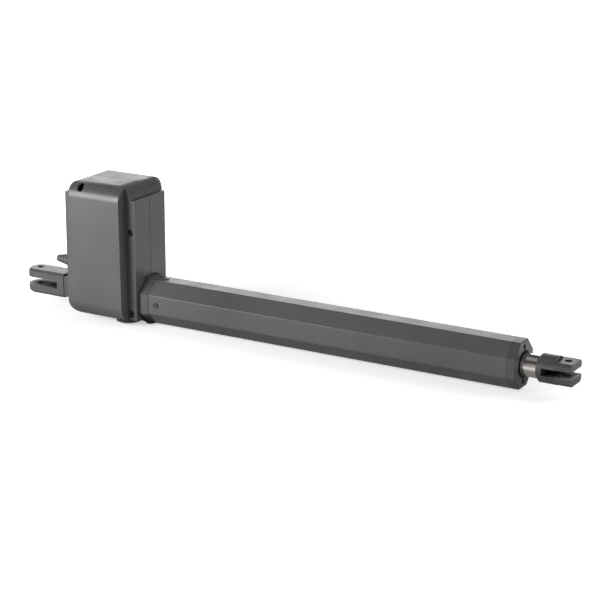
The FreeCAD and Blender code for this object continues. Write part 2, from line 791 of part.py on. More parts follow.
# The fork that turns on the rear bracket's pin, bolted to the gear case
def rearFork():
    plan = doc.addObject("PartDesign::Body", "RearForkPlan")
    sketch = plan.newObject("Sketcher::SketchObject", "RearForkOutline")
    face = [item for item in plan.Origin.OriginFeatures if item.Role == "XY_Plane"][0]
    sketch.AttachmentSupport = [(face, "")]
    sketch.MapMode = "FlatFace"
    half = size("forkHalf")
    root = size("forkRoot")
    tip = Part.ArcOfCircle(Part.Circle(Vector(), Vector(0, 0, 1), half), math.pi / 2, 3 * math.pi / 2)
    corners = [Vector(0, -half), Vector(root, -half), Vector(root, half), Vector(0, half)]
    sketch.addGeometry([tip] + [Part.LineSegment(corners[i], corners[i + 1]) for i in range(3)], False)
    tie = Sketcher.Constraint
    sketch.addConstraint([
        tie("Coincident", 0, 3, -1, 1), tie("Coincident", 0, 2, 1, 1), tie("Coincident", 1, 2, 2, 1),
        tie("Coincident", 2, 2, 3, 1), tie("Coincident", 3, 2, 0, 1), tie("Vertical", -1, 1, 1, 1),
        tie("Vertical", -1, 1, 3, 2), tie("Horizontal", 1), tie("Horizontal", 3), tie("Radius", 0, half),
        tie("DistanceX", -1, 1, 2, 1, root)])
    bind(sketch, "Constraints[9]", "forkHalf")
    bind(sketch, "Constraints[10]", "forkRoot")
    pad = plan.newObject("PartDesign::Pad", "RearForkPad")
    pad.Profile = sketch
    pad.Midplane = True
    bind(pad, "Length", "2 * forkRise")
    plan.Tip = pad
    rise = size("forkRise")
    chamfered(plan, "RearForkEdge", "forkEdge", lambda edge: abs(abs(edge.CenterOfMass.z) - rise) < 0.01
              and edge.CenterOfMass.x < root - 1)
    flange = "(caseRear - flangeThick)"
    neck = box("RearNeck", ("forkRoot - 2", flange + " + 1"), ("-neckHalf", "neckHalf"),
               ("-neckRise", "neckRise"))
    plate = box("RearFlange", (flange, "caseRear"), ("-flangeHalf", "flangeHalf"),
                ("-flangeBottom", "flangeTop"))
    solid = join("RearForkSolid", plan, neck, plate)
    slot = box("RearSlot", ("-forkHalf - 5", "rearSlotEnd"), ("-forkHalf - 5", "forkHalf + 5"),
               ("-rearSlotHalf", "rearSlotHalf"))
    bore = bar("RearBore", "Z", ("0", "0"), ("-forkRise - 1", "forkRise + 1"), "pivotBore")
    sinks = [bar(f"BoltSink{index}", "X", spot, (flange + " - 1", flange + " + boltSink"), "boltHead + 0.5")
             for index, spot in enumerate(boltSpots())]
    ways = [bar(f"BoltWay{index}", "X", spot, (flange, "caseRear + 1"), "boltShank + threadPlay")
            for index, spot in enumerate(boltSpots())]
    finish(cut("RearFork", solid, slot, bore, *sinks, *ways), "rear_fork")
    bolts = [screw(f"Bolt{index}", "X", spot, flange + " + boltSink", "-", "boltHead", "boltHeadHeight",
                   "boltShank", "boltLength", "boltKey") for index, spot in enumerate(boltSpots())]
    finish(group("Bolts", bolts), "fork_bolts")


def tube():
    blank = prism("TubeBlank", "YZ", [octagon("0"), octagon("-tubeWall")], "collarFront", tubeFront)
    ways = [bar("TubeWay" + word, axis, spot, span, "smallShank + threadPlay")
            for word, axis, spot, span in tubeScrewWays()]
    finish(cut("Tube", blank, *ways), "tube")
    heads = []
    for word, axis, spot, span in tubeScrewWays():
        seat = "tubeHeight / 2" if word == "Top" else ("tubeWidth / 2" if word == "Far" else "-tubeWidth / 2")
        way = "-" if word == "Near" else "+"
        heads.append(screw("TubeScrew" + word, axis, spot, seat, way, "tubeScrewHead", "tubeScrewRise",
                           "smallShank", "tubeScrewLength", "tubeScrewKey"))
    finish(group("TubeScrews", heads), "tube_screws")


# The end cap, the block that it is screwed to, and what guides and wipes the rod
def frontEnd():
    rear = f"{tubeFront} - insertLength"
    block = prism("InsertBlank", "YZ", [octagon("-tubeWall - tubePlay")], rear, tubeFront)
    seat = bar("InsertSeat", "X", ("0", "0"), (rear + " - 1", capFace), "bushRadius")
    spots = [("0", "capScrewZ"), ("0", "-capScrewZ")]
    ways = [bar(f"InsertWay{index}", "X", spot, (f"{capFace} - capSinkDepth - capScrewLength - 1", capFace),
                "smallShank + threadPlay") for index, spot in enumerate(spots)]
    finish(cut("Insert", block, seat, *ways), "front_insert")
    plate = prism("CapPlate", "YZ", [octagon("0")], tubeFront, capFace)
    face = size("pivotSpan") - size("frontReach")
    chamfered(plate, "CapEdge", "1", lambda edge: abs(edge.CenterOfMass.x - face) < 0.01)
    opening = bar("CapOpening", "X", ("0", "0"), (tubeFront + " - 1", capFace + " + 1"),
                  "rodRadius + openingPlay")
    wiperSeat = bar("CapWiperSeat", "X", ("0", "0"), (f"{capFace} - wiperLong - wiperSunk", capFace + " + 1"),
                    "wiperRadius")
    sinks = [bar(f"CapSink{index}", "X", spot, (f"{capFace} - capSinkDepth", capFace + " + 1"), "capSink")
             for index, spot in enumerate(spots)]
    drills = [bar(f"CapWay{index}", "X", spot, (tubeFront + " - 1", capFace + " + 1"),
                  "smallShank + threadPlay")
              for index, spot in enumerate(spots)]
    notches = []
    for word, way, turn in (("Near", "-", 1), ("Far", "", -1)):
        notch = box("CapNotch" + word, ("0", "notchWide"), ("0", "12"), ("0", "notchDeep + 3"))
        lean = math.degrees(math.atan2(size("tubeHeight") - size("tubeSide"),
                                       size("tubeWidth") - size("tubeFlat")))
        notch.Placement = FreeCAD.Placement(Vector(), Rotation(Vector(1, 0, 0), turn * lean))
        notches.append(place(notch, f"{capFace} - notchBack", notchSpot(way)[0], notchSpot(way)[1]))
    finish(cut("Cap", plate, opening, wiperSeat, *sinks, *drills, *notches), "front_cap")
    heads = [screw(f"CapScrew{index}", "X", spot, f"{capFace} - capSinkDepth", "+", "smallHead",
                   "smallHeadHeight",
                   "smallShank", "capScrewLength") for index, spot in enumerate(spots)]
    finish(group("CapScrews", heads), "cap_screws")
    finish(ring("Bush", "X", ("0", "0"), (rear + " + 1", tubeFront), "bushRadius", "rodRadius + runPlay"),
           "rod_bush")
    lip = turned("Wiper", "X", [(f"{capFace} - wiperLong - wiperSunk", "wiperRadius"),
                                (f"{capFace} - wiperSunk - 1", "wiperRadius"),
                                (f"{capFace} - wiperSunk", "wiperRadius - 1"),
                                (f"{capFace} - wiperSunk", "rodRadius + runPlay"),
                                (f"{capFace} - wiperLong - wiperSunk", "rodRadius + runPlay")])
    finish(lip, "rod_wiper")


def notchSpot(way):
    middle = "(tubeWidth / 2 + tubeFlat / 2) / 2"
    rise = "(tubeHeight / 2 + tubeSide / 2) / 2"
    return (f"{way}{middle}", rise)


# The drive motor's fixed pieces
def motor():
    low = "caseTop + lidThick"
    bell = f"({low} + bellRise)"
    axis = ("wormX", wormY)
    drills = [bar(f"MotorWay{index}", "Z", spot, ("caseTop", "canTop + capRise + 1"),
                  "motorBoltRadius + threadPlay")
              for index, spot in enumerate(motorBoltSpots())]
    plate = bar("BellPlate", "Z", axis, (low, bell), "canRadius")
    spigot = bar("BellSpigot", "Z", axis, ("caseTop", low), "bellSpigot")
    seat = bar("BellSeat", "Z", axis, (f"{bell} - motorBearingWide", bell), "motorBearing")
    way = bar("BellWay", "Z", axis, ("caseTop - 1", bell), "rotorShaft + shaftWay")
    finish(cut("Bell", join("BellSolid", plate, spigot), seat, way, *drills), "motor_bell")
    finish(ring("Can", "Z", axis, (bell, "canTop"), "canRadius", "canRadius - canWall"), "motor_can")
    cap = turned("Cap", "Z", [("canTop", "canRadius"), ("canTop + capRise - 2", "canRadius"),
                              ("canTop + capRise", "canRadius - 2"), ("canTop + capRise", "topJournal + 1.5"),
                              ("canTop + topBearingWide", "topJournal + 1.5"),
                              ("canTop + topBearingWide", "topBearing"),
                              ("canTop", "topBearing")], x="wormX", y=wormY)
    finish(cut("CapDrilled", cap, *drills), "motor_cap")
    outer = "canRadius - canWall - magnetGap"
    shells = ring("MagnetRing", "Z", axis, ("stackBottom - magnetLap", "stackTop + magnetLap"), outer,
                  outer + " - magnetThick")
    wide = "(canRadius * cos(magnetAngle * 0.5 deg))"
    gap = box("MagnetGap", ("wormX - canRadius", "wormX + canRadius"),
              (f"{wormY} - {wide}", f"{wormY} + {wide}"),
              ("stackBottom - magnetLap - 1", "stackTop + magnetLap + 1"))
    finish(cut("Magnets", shells, gap), "motor_magnets")
    bolts = [screw(f"MotorBolt{index}", "Z", spot, "canTop + capRise", "+", "motorBoltHead",
                   "smallHeadHeight", "motorBoltRadius", "canTop + capRise - caseTop")
             for index, spot in enumerate(motorBoltSpots())]
    finish(group("MotorBolts", bolts), "motor_bolts")
    top = "stackTop + windingRise"
    brushZ = (f"{top} + 2", f"{top} + 2 + brushWide")
    carbon = []
    disc = ring("BrushDisc", "Z", axis, ("canTop - brushPlate", "canTop"), outer,
                "commutatorRadius + brushRim")
    holders = [cut("BrushPlate", disc, *drills)]
    near = f"{wormY} - commutatorRadius - brushPlay"
    far = f"{wormY} + commutatorRadius + brushPlay"
    for word, start, end in (("Near", near + " - brushLong", near), ("Far", far, far + " + brushLong")):
        carbon.append(box("Brush" + word, ("wormX - brushWide / 2", "wormX + brushWide / 2"), (start, end),
                          brushZ))
        span = (f"{start} - 1", f"{end} - brushRim")
        if word == "Far":
            span = (f"{start} + brushRim", f"{end} + 1")
        sleeve = box("BrushBox" + word,
                     ("wormX - brushWide / 2 - brushShell", "wormX + brushWide / 2 + brushShell"),
                     span, (brushZ[0] + " - brushShell", "canTop - brushPlate + 1"))
        slot = box("BrushSlot" + word, ("wormX - brushWide / 2", "wormX + brushWide / 2"), span, brushZ)
        holders.append(cut("BrushHolder" + word, sleeve, slot))
    finish(join("BrushHolder", *holders), "brush_holder")
    finish(group("Brushes", carbon), "motor_brushes")
    board = box("EncoderPlate", ("wormX - encoderBoard", "wormX + encoderBoard"),
                (f"{wormY} - encoderBoard", f"{wormY} + encoderBoard"),
                ("encoderBase + encoderPost", "encoderBase + encoderPost + boardThick"))
    posts = [bar(f"EncoderPost{index}", "Z", (f"wormX + {side}(encoderBoard - 2)", wormY),
                 ("encoderBase", "encoderBase + encoderPost"), "encoderPin")
             for index, side in enumerate(("-", "1 * "))]
    finish(group("Encoder", [board, *posts]), "encoder_board")


# What turns with the motor's shaft
def rotor():
    axis = ("wormX", wormY)
    bell = "(caseTop + lidThick + bellRise)"
    magnetLow = "canTop + capRise + encoderGap"
    magnetHigh = magnetLow + " + encoderRise"
    shaft = turned("RotorShaft", "Z", [(shaftLow, "0"), (shaftLow, "wormBore"),
                                       ("caseTop - 4", "wormBore"), ("caseTop - 4", "rotorShaft"),
                                       ("canTop - 1", "rotorShaft"), ("canTop - 1", "topJournal"),
                                       (magnetHigh, "topJournal"), (magnetHigh, "0")], x="wormX", y=wormY)
    finish(shaft, "rotor_shaft")
    stack = ring("Stack", "Z", axis, ("stackBottom", "stackTop"),
                 "canRadius - canWall - magnetGap - magnetThick - rotorGap", "rotorShaft")
    slots = []
    edge = size("canRadius") - size("canWall") - size("magnetGap") - size("magnetThick") - size("rotorGap")
    count = int(size("stackSlots"))
    for index in range(count):
        slot = box(f"StackSlot{index}", ("0", "slotDeep + 3"), ("0", "slotWide"),
                   ("0", "stackTop - stackBottom + 2"))
        turn = Rotation(Vector(0, 0, 1), 360 * index / count)
        slot.Placement = FreeCAD.Placement(Vector(), turn)
        corner = turn.multVec(Vector(edge - size("slotDeep"), -size("slotWide") / 2, 0))
        slots.append(place(slot, f"wormX + {corner.x:.5f}", f"{wormY} + {corner.y:.5f}", "stackBottom - 1"))
    finish(cut("Armature", stack, *slots), "armature")
    low = ("stackBottom - windingRise + windingPlay", "stackBottom")
    high = ("stackTop", "stackTop + windingRise - windingPlay")
    coils = [ring("CoilLow", "Z", axis, low, "windingRadius", "rotorShaft"),
             ring("CoilHigh", "Z", axis, high, "windingRadius", "rotorShaft")]
    finish(group("Windings", coils), "windings")
    finish(ring("Commutator", "Z", axis,
                ("stackTop + windingRise", "stackTop + windingRise + commutatorRise"),
                "commutatorRadius", "rotorShaft"), "commutator")
    finish(ring("EncoderMagnet", "Z", axis, (magnetLow, magnetHigh), "encoderMagnet", "topJournal"),
           "encoder_magnet")


# A worm of one thread: a core and a helical rib, bored for the shaft
def worm():
    body = doc.addObject("PartDesign::Body", "Worm")
    module = size("gearModule")
    pitch = math.pi * module
    root = "wormPitch - 1.25 * gearModule"
    core = outline(body, "WormCore", "XZ",
                   [[("wormBore", "-wormHalf"), (root, "-wormHalf"), (root, "wormHalf"), ("wormBore", "wormHalf")]])
    spin = body.newObject("PartDesign::Revolution", "WormSpin")
    spin.Profile = core
    spin.ReferenceAxis = (core, ["V_Axis"])
    spin.Angle = 360
    doc.recompute()
    quarter = "gearModule * pi / 4 - toothPlay"
    lean = "tan(20 deg)"
    deep = "1.35 * gearModule"
    start = "(-2 * gearModule * pi)"
    rib = outline(body, "WormRib", "XZ", [[
        (f"wormPitch - {deep}", f"{start} - ({quarter} + {deep} * {lean})"),
        ("wormPitch + toothRise", f"{start} - ({quarter} - toothRise * {lean})"),
        ("wormPitch + toothRise", f"{start} + ({quarter} - toothRise * {lean})"),
        (f"wormPitch - {deep}", f"{start} + ({quarter} + {deep} * {lean})")]])
    helix = body.newObject("PartDesign::AdditiveHelix", "WormHelix")
    helix.Profile = rib
    helix.ReferenceAxis = (rib, ["V_Axis"])
    helix.Mode = 0
    bind(helix, "Pitch", "gearModule * pi")
    bind(helix, "Height", "4 * gearModule * pi")
    body.Tip = helix
    body.Placement = FreeCAD.Placement(Vector(), Rotation(Vector(0, 0, 1), 90))
    finish(place(body, "wormX", wormY), "worm")


# The wheel's teeth are cut by straight gaps that lean as the worm's thread does
def wormWheel():
    body = doc.addObject("PartDesign::Body", "WheelTeeth")
    radius = "(gearModule * wheelTeeth / 2)"
    blank = outline(body, "WheelBlank", "XZ", [[(wheelRear, "screwRadius + runPlay"),
                                                (wheelRear, f"{radius} + toothRise - 1"),
                                                (f"{wheelRear} + 1", f"{radius} + toothRise"),
                                                (f"{wheelFront} - 1", f"{radius} + toothRise"),
                                                (wheelFront, f"{radius} + toothRise - 1"),
                                                (wheelFront, "screwRadius + runPlay")]])
    spin = body.newObject("PartDesign::Revolution", "WheelSpin")
    spin.Profile = blank
    spin.ReferenceAxis = (blank, ["H_Axis"])
    spin.Angle = 360
    doc.recompute()
    quarter = "(gearModule * pi / 4 + toothPlay)"
    gap = outline(body, "WheelGap", "YZ", [[
        (f"-({radius} - 1.25 * gearModule)", f"-({quarter} - 1.25 * gearModule * tan(20 deg))"),
        (f"-{radius}", f"-{quarter}"),
        (f"-({radius} + 1.2 * gearModule)", f"-({quarter} + 1.2 * gearModule * tan(tipAngle * 1 deg))"),
        (f"-({radius} + 1.2 * gearModule)", f"{quarter} + 1.2 * gearModule * tan(tipAngle * 1 deg)"),
        (f"-{radius}", quarter),
        (f"-({radius} - 1.25 * gearModule)", f"{quarter} - 1.25 * gearModule * tan(20 deg)")]])
    lead = math.degrees(math.atan(size("gearModule") / 2 / size("wormPitch")))
    gap.AttachmentOffset = FreeCAD.Placement(Vector(0, 0, size("wormX")), Rotation(Vector(1, 0, 0), -lead))
    bind(gap, "AttachmentOffset.Base.z", "wormX")
    pocket = body.newObject("PartDesign::Pocket", "WheelPocket")
    pocket.Profile = gap
    pocket.Midplane = True
    bind(pocket, "Length", "wheelWidth + 6")
    doc.recompute()
    pattern = body.newObject("PartDesign::PolarPattern", "WheelPattern")
    pattern.Originals = [pocket]
    pattern.Axis = (blank, ["H_Axis"])
    pattern.Angle = 360
    bind(pattern, "Occurrences", "wheelTeeth")
    body.Tip = pattern
    low = f"{wheelFront} - dogSink"
    high = f"{wheelFront} + dogHeight"
    hub = ring("WheelHub", "X", ("0", "0"), (low, high), "dogOuter", "dogInner")
    dogs = dogTeeth("WheelDogs", hub, low, high, 0)
    finish(join("Wheel", body, dogs), "worm_wheel")


# Three blocks of a ring, left where three wedges around the X axis meet it
def dogTeeth(name, hub, low, high, start):
    wedges = []
    half = math.radians(size("dogAngle") / 2)
    reach = size("dogOuter") + 4
    for index in range(3):
        middle = math.radians(start + 120 * index)
        corners = [("0", "0")]
        for side in (-half, half):
            corners.append((f"{reach * math.cos(middle + side):.5f}",
                            f"{reach * math.sin(middle + side):.5f}"))
        wedges.append(prism(f"{name}Wedge{index}", "YZ", [corners], low, high))
    return common(name, hub, join(name + "Wedges", *wedges))


# The sleeve that a key drives and a fork slides, with dogs that fit between the wheel's
def clutch():
    body = turned("SleeveBody", "X", [(sleeveRear, "screwRadius + runPlay"), (sleeveRear, "sleeveRadius"),
                                      (grooveRear, "sleeveRadius"), (grooveRear, "grooveRadius"),
                                      (grooveFront, "grooveRadius"), (grooveFront, "sleeveRadius"),
                                      (sleeveFront, "sleeveRadius"), (sleeveFront, "screwRadius + runPlay")])
    dogs = f"{wheelFront} + dogPlay"
    hub = ring("SleeveHub", "X", ("0", "0"), (dogs, f"{sleeveRear} + dogSink"), "dogOuter", "dogInner")
    teeth = dogTeeth("SleeveDogs", hub, dogs, f"{sleeveRear} + dogSink", 60)
    way = box("SleeveWay", (wheelFront, f"{sleeveFront} + 1"),
              ("-keyWide / 2 - keyPlay", "keyWide / 2 + keyPlay"),
              ("0", "screwRadius + keyRise + 2 * keyPlay"))
    finish(cut("Sleeve", join("SleeveSolid", body, teeth), way), "clutch_sleeve")
    fork = ("0", "0")
    span = (f"{grooveRear} + forkPlay", f"{grooveFront} - forkPlay")
    arc = ring("ForkArc", "X", fork, span, "clutchForkOuter", "grooveRadius + forkPlay")
    wide = ("-clutchForkOuter - 1", "clutchForkOuter + 1")
    lower = box("ForkLower", (span[0] + " - 1", span[1] + " + 1"), wide, (wide[0], "clutchForkRise"))
    foot = box("ForkFoot", ("knobX - camStart - pinRadius - footEdge", span[1]),
               ("-knobY - footNear", "footFar"),
               ("-footTop - footThick", "-footTop"))
    pin = bar("ForkPin", "Z", ("knobX - camStart", "-knobY"),
              (f"{camTop} - pinDeep + pinLift", "-footTop - 1"),
              "pinRadius")
    clear = bar("ForkClear", "X", fork, (sleeveRear, f"{sleeveFront} + 1"), "grooveRadius + forkPlay")
    finish(join("ClutchFork", common("ForkHalf", arc, lower), cut("ForkFootCut", foot, clear), pin),
           "clutch_fork")


# The knob below the housing and the cam plate that it turns, with a spiral groove
def release():
    spot = ("knobX", "-knobY")
    top = camTop
    low = f"({top} - camThick)"
    collar = "-knobBottom + knobThick"
    knob = turned("KnobBody", "Z", [("-knobBottom", "0"), ("-knobBottom", "knobRadius - 1.2"),
                                    ("-knobBottom + 1.2", "knobRadius"), (collar + " - 0.6", "knobRadius"),
                                    (collar, "knobRadius - 0.6"), (collar, "knobNeck"), (low, "knobNeck"),
                                    (low, "0")],
                  x="knobX", y="-knobY")
    seat = "-knobBottom + knobScrewDeep"
    sink = bar("KnobSink", "Z", spot, ("-knobBottom - 1", seat), "knobScrewHead + 0.6")
    way = bar("KnobWay", "Z", spot, ("-knobBottom - 1", f"{low} + 1"), "knobScrewShank + threadPlay")
    coin = box("KnobCoin", ("knobX - knobRadius + 4", "knobX + knobRadius - 4"),
               ("-knobY - knobSlot", "-knobY + knobSlot"), ("-knobBottom - 1", "-knobBottom + knobSlotDeep"))
    finish(cut("Knob", knob, sink, way, coin), "release_knob")
    finish(screw("KnobScrew", "Z", spot, seat, "-", "knobScrewHead", "knobScrewRise", "knobScrewShank",
                 f"{low} + 1.4 + knobBottom - knobScrewDeep"), "knob_screw")
    plate = bar("CamPlate", "Z", spot, (low, top), "camRadius")
    hole = bar("CamHole", "Z", spot, (f"{low} - 1", f"{low} + 1.6"), "knobScrewShank + threadPlay")
    groove = doc.addObject("Part::Feature", "CamGroove")
    groove.Shape = spiralGroove()
    bind(groove, "Placement.Base.x", "knobX")
    bind(groove, "Placement.Base.y", "-knobY")
    bind(groove, "Placement.Base.z", f"{top} - pinDeep")
    finish(cut("Cam", plate, hole, groove), "release_cam")


# The groove's middle moves in by the clutch's travel as the cam turns by its full angle
def spiralGroove():
    wide = size("pinRadius") + size("camPlay")
    turn = math.radians(size("camTurn"))
    pace = size("clutchTravel") / turn
    middles = []
    headings = []
    steps = 8
    for index in range(steps + 1):
        angle = turn * index / steps
        radius = size("camStart") - pace * angle
        heading = math.pi - angle
        middles.append(Vector(radius * math.cos(heading), radius * math.sin(heading), 0))
        headings.append(Vector(-pace * math.cos(heading) + radius * math.sin(heading),
                               -pace * math.sin(heading) - radius * math.cos(heading), 0).normalize())
    sideways = [Vector(-along.y, along.x, 0) * wide for along in headings]
    outer = [middle + aside for middle, aside in zip(middles, sideways)]
    inner = [middle - aside for middle, aside in zip(middles, sideways)]
    first = middles[0] - headings[0] * wide
    last = middles[-1] + headings[-1] * wide
    sides = []
    for points in (outer, inner):
        curve = Part.BSplineCurve()
        curve.interpolate(points)
        sides.append(curve.toShape())
    loop = [sides[0], Part.Arc(outer[-1], last, inner[-1]).toShape(), sides[1],
            Part.Arc(inner[0], first, outer[0]).toShape()]
    face = Part.Face(Part.Wire(Part.__sortEdges__(loop)))
    return face.extrude(Vector(0, 0, size("camThick")))


# The lead screw with its journals and ring-shaped threads, its key and the guide on its tip
def leadScrew():
    seat = size("caseEnd") + 1
    wide = size("frontBearingWide")
    main = size("screwRadius")
    rear = size("caseRear") + size("seatInset") + 1
    step = size("caseRear") + size("caseRearWall") + 2
    shoulder = seat + wide + size("shoulderWide")
    tip = size("screwTip")
    root = main - size("threadDepth")
    crest = size("threadCrest")
    pitch = size("threadPitch")
    slope = (pitch - 2 * crest) / 4
    points = [(rear, 0), (rear, size("rearJournal")), (step, size("rearJournal")), (step, main), (seat, main),
              (seat, size("frontJournal")), (seat + wide, size("frontJournal")),
              (seat + wide, size("shoulderRadius")), (shoulder, size("shoulderRadius")), (shoulder, main)]
    along = size("threadStart")
    end = tip - size("tipGuide")
    while along + pitch < end:
        points += [(along, main), (along + slope, root)]
        points += [(along + slope + crest, root), (along + 2 * slope + crest, main)]
        along += pitch
    points += [(end, main), (end, size("rearJournal")), (tip, size("rearJournal")), (tip, 0)]
    wire = Part.makePolygon([Vector(x, 0, radius) for x, radius in points + points[:1]])
    blank = doc.addObject("Part::Feature", "ScrewBlank")
    blank.Shape = Part.Face(wire).revolve(Vector(), Vector(1, 0, 0), 360)
    way = box("ScrewWay", keySpan, ("-keyWide / 2", "keyWide / 2"),
              ("screwRadius + keyRise - keyDeep", "screwRadius + 5"))
    finish(cut("LeadScrew", blank, way), "lead_screw")
    key = box("Key", keySpan, ("-keyWide / 2", "keyWide / 2"),
              ("screwRadius + keyRise - keyDeep", "screwRadius + keyRise"))
    finish(key, "screw_key")
    finish(ring("TipGuide", "X", ("0", "0"), ("screwTip - tipGuide", "screwTip"), "rodBore - nutPlay",
                "rearJournal"),
           "screw_tip_guide")


# Sealed bearings, each an inner ring that turns and an outer ring with its shields that doesn't
def bearings():
    axis = ("wormX", wormY)
    line = ("0", "0")
    rearSeat = "caseRear + seatInset"
    bell = "caseTop + lidThick + bellRise"
    sets = {
        "ScrewRear": ("X", line, (rearSeat, rearSeat + " + rearBearingWide"), "rearBearing", "rearJournal"),
        "ScrewFront": ("X", line, (frontSeat, frontSeat + " + frontBearingWide"), "frontBearing",
                       "frontJournal"),
        "Worm": ("Z", axis, (f"{wormSeat} - wormBearingWide", wormSeat), "wormBearing", "wormBore"),
        "Motor": ("Z", axis, (bell + " - motorBearingWide", bell), "motorBearing", "rotorShaft"),
        "Top": ("Z", axis, ("canTop", "canTop + topBearingWide"), "topBearing", "topJournal"),
    }
    fixed = []
    turning = {"Screw": [], "Rotor": []}
    for word, (way, centre, span, outer, inner) in sets.items():
        middle = f"{inner} + raceThick" if word.startswith("Screw") else f"{inner} + raceThick / 2"
        fixed.append(ring(word + "OuterRace", way, centre, span, outer, f"{middle} + shieldPlay"))
        owner = "Screw" if word.startswith("Screw") else "Rotor"
        turning[owner].append(ring(word + "InnerRace", way, centre, span, middle, inner))
    finish(group("OuterRaces", fixed), "bearing_outers")
    finish(group("ScrewRaces", turning["Screw"]), "screw_bearing_inners")
    finish(group("RotorRaces", turning["Rotor"]), "rotor_bearing_inners")


# The nut, its guide, the hollow rod and the fork on the rod's end
def pushRod():
    nut = turned("Nut", "X",
                 [("rodRear - nutFlangeWide", "screwRadius + nutPlay"), ("rodRear - nutFlangeWide", "nutFlange"),
                  ("rodRear", "nutFlange"), ("rodRear", "rodBore"), ("rodRear + nutLength", "rodBore"),
                  ("rodRear + nutLength", "screwRadius + nutPlay")])
    pinSpots = ("rodRear + guideLength + nutPinBack", "0")
    across = ("-rodRadius - 5", "rodRadius + 5")
    pinEnds = ("-rodRadius + pinShort", "rodRadius - pinShort")
    hole = bar("NutPinHole", "Y", pinSpots, ("-rodRadius", "rodRadius"), "crossPin")
    finish(cut("NutDrilled", nut, hole), "drive_nut")
    blank = prism("GuideBlank", "YZ", [octagon("-tubeWall - guidePlay")], "rodRear", "rodRear + guideLength")
    finish(cut("Guide", blank, bar("GuideBore", "X", ("0", "0"), ("rodRear - 1", "rodRear + guideLength + 1"),
                                   "rodRadius")), "nut_guide")
    stem = bar("NutPinStem", "Y", pinSpots, pinEnds, "crossPin")
    middle = bar("NutPinMiddle", "X", ("0", "0"), ("rodRear", "rodRear + nutLength + 10"),
                 "screwRadius + nutPlay")
    finish(cut("NutPins", stem, middle), "nut_pins")
    end = f"({capFace} + bossRear)"
    plugStart = f"({end} - shankLength)"
    forkPin = (f"{end} - forkPinBack", "0")
    rodBody = ring("RodBlank", "X", ("0", "0"), ("rodRear", end), "rodRadius", "rodBore")
    finish(cut("Rod", rodBody, bar("RodNutHole", "Y", pinSpots, across, "crossPin"),
               bar("RodForkHole", "Y", forkPin, across, "crossPin")), "piston_rod")
    bossFront = f"({capFace} + bossEnd)"
    tip = f"({capFace} + earTip)"
    boss = turned("ForkBoss", "X",
                  [(end, "0"), (end, "bossRadius - bossEdge"), (f"{end} + bossEdge", "bossRadius"),
                   (f"{bossFront} - bossBreak", "bossRadius"), (bossFront, "bossRadius - bossBreak"),
                   (bossFront, "0")])
    shank = bar("ForkShank", "X", ("0", "0"), (plugStart, f"{end} + 1"), "rodBore")
    ears = box("ForkEars", (f"{bossFront} - 1", tip), ("-earHalf", "earHalf"), ("-earRise", "earRise"))
    rounded = bar("ForkEarsBar", "X", ("0", "0"), (f"{bossFront} - 2", f"{tip} + 1"), "bossRadius + earRound")
    solid = join("FrontForkSolid", boss, shank, common("ForkEarsRound", ears, rounded))
    through = ("-bossRadius - 5", "bossRadius + 5")
    slot = box("FrontSlot", (f"{capFace} + frontSlotStart", f"{tip} + 5"), through,
               ("-frontSlotHalf", "frontSlotHalf"))
    bore = bar("FrontBore", "Z", ("pivotSpan", "0"), through, "pivotBore")
    cross = bar("FrontPinHole", "Y", forkPin, across, "crossPin")
    finish(cut("FrontFork", solid, slot, bore, cross), "front_fork")
    finish(bar("ForkPinBar", "Y", forkPin, pinEnds, "crossPin"), "fork_pin")


# End stops inside the tube for the nut's guide
def stops():
    blank = prism("StopBlank", "YZ", [octagon("-tubeWall - tubePlay")], "stopRear", "stopRear + stopLength")
    bore = bar("StopBore", "X", ("0", "0"), ("stopRear - 1", "stopRear + stopLength + 1"), "stopBore")
    finish(cut("Stop", blank, bore), "front_stop")
    rear = "collarFront + spigotLength"
    finish(ring("Buffer", "X", ("0", "0"), (rear, rear + " + bufferLength"), "stopBore + bufferRim",
                "caseBore"), "rear_buffer")


# The entry for the motor's cable, empty here
def cableGland():
    spot = ("-glandY", "glandZ")
    face = "wallLeft - padProud"
    head = hexagon("GlandHead", "X", spot, (f"{face} - glandHexLong", face), "glandHex")
    thread = bar("GlandThread", "X", spot, (face, "wallLeft + coverWall + glandNutWide + 2"), "glandThread")
    bore = bar("GlandBore", "X", spot, (face + " - 40", "wallLeft + 30"), "glandBore")
    finish(cut("GlandBody", join("GlandSolid", head, thread), bore), "gland_body")
    nut = hexagon("GlandNutBlank", "X", spot, (glandSeat, glandSeat + " + glandNutWide"),
                  "glandThread + glandNutRim")
    finish(cut("GlandNut", nut,
               bar("GlandNutBore", "X", spot, (glandSeat + " - 1", glandSeat + " + glandNutWide + 1"),
                                    "glandThread")), "gland_nut")
    root = f"({face} - glandHexLong)"
    tip = f"({root} - bootLength)"
    count = int(size("bootRibs"))
    profile = [(root, "glandBore"), (root, "bootRoot")]
    for index in range(count):
        near = f"{root} - bootLength * {index + 0.5:.2f} / bootRibs"
        far = f"{root} - bootLength * {index + 0.75:.2f} / bootRibs"
        ridge = f"bootRoot - (bootRoot - bootTip) * {index + 0.5:.2f} / bootRibs"
        profile += [(near, ridge), (near, f"{ridge} - bootGroove"), (far, f"{ridge} - bootGroove"),
                    (far, f"{ridge} - bootGroove / 3")]
    profile += [(tip, "bootTip"), (tip, "glandBore")]
    finish(turned("Boot", "X", profile, y="-glandY", z="glandZ"), "gland_boot")


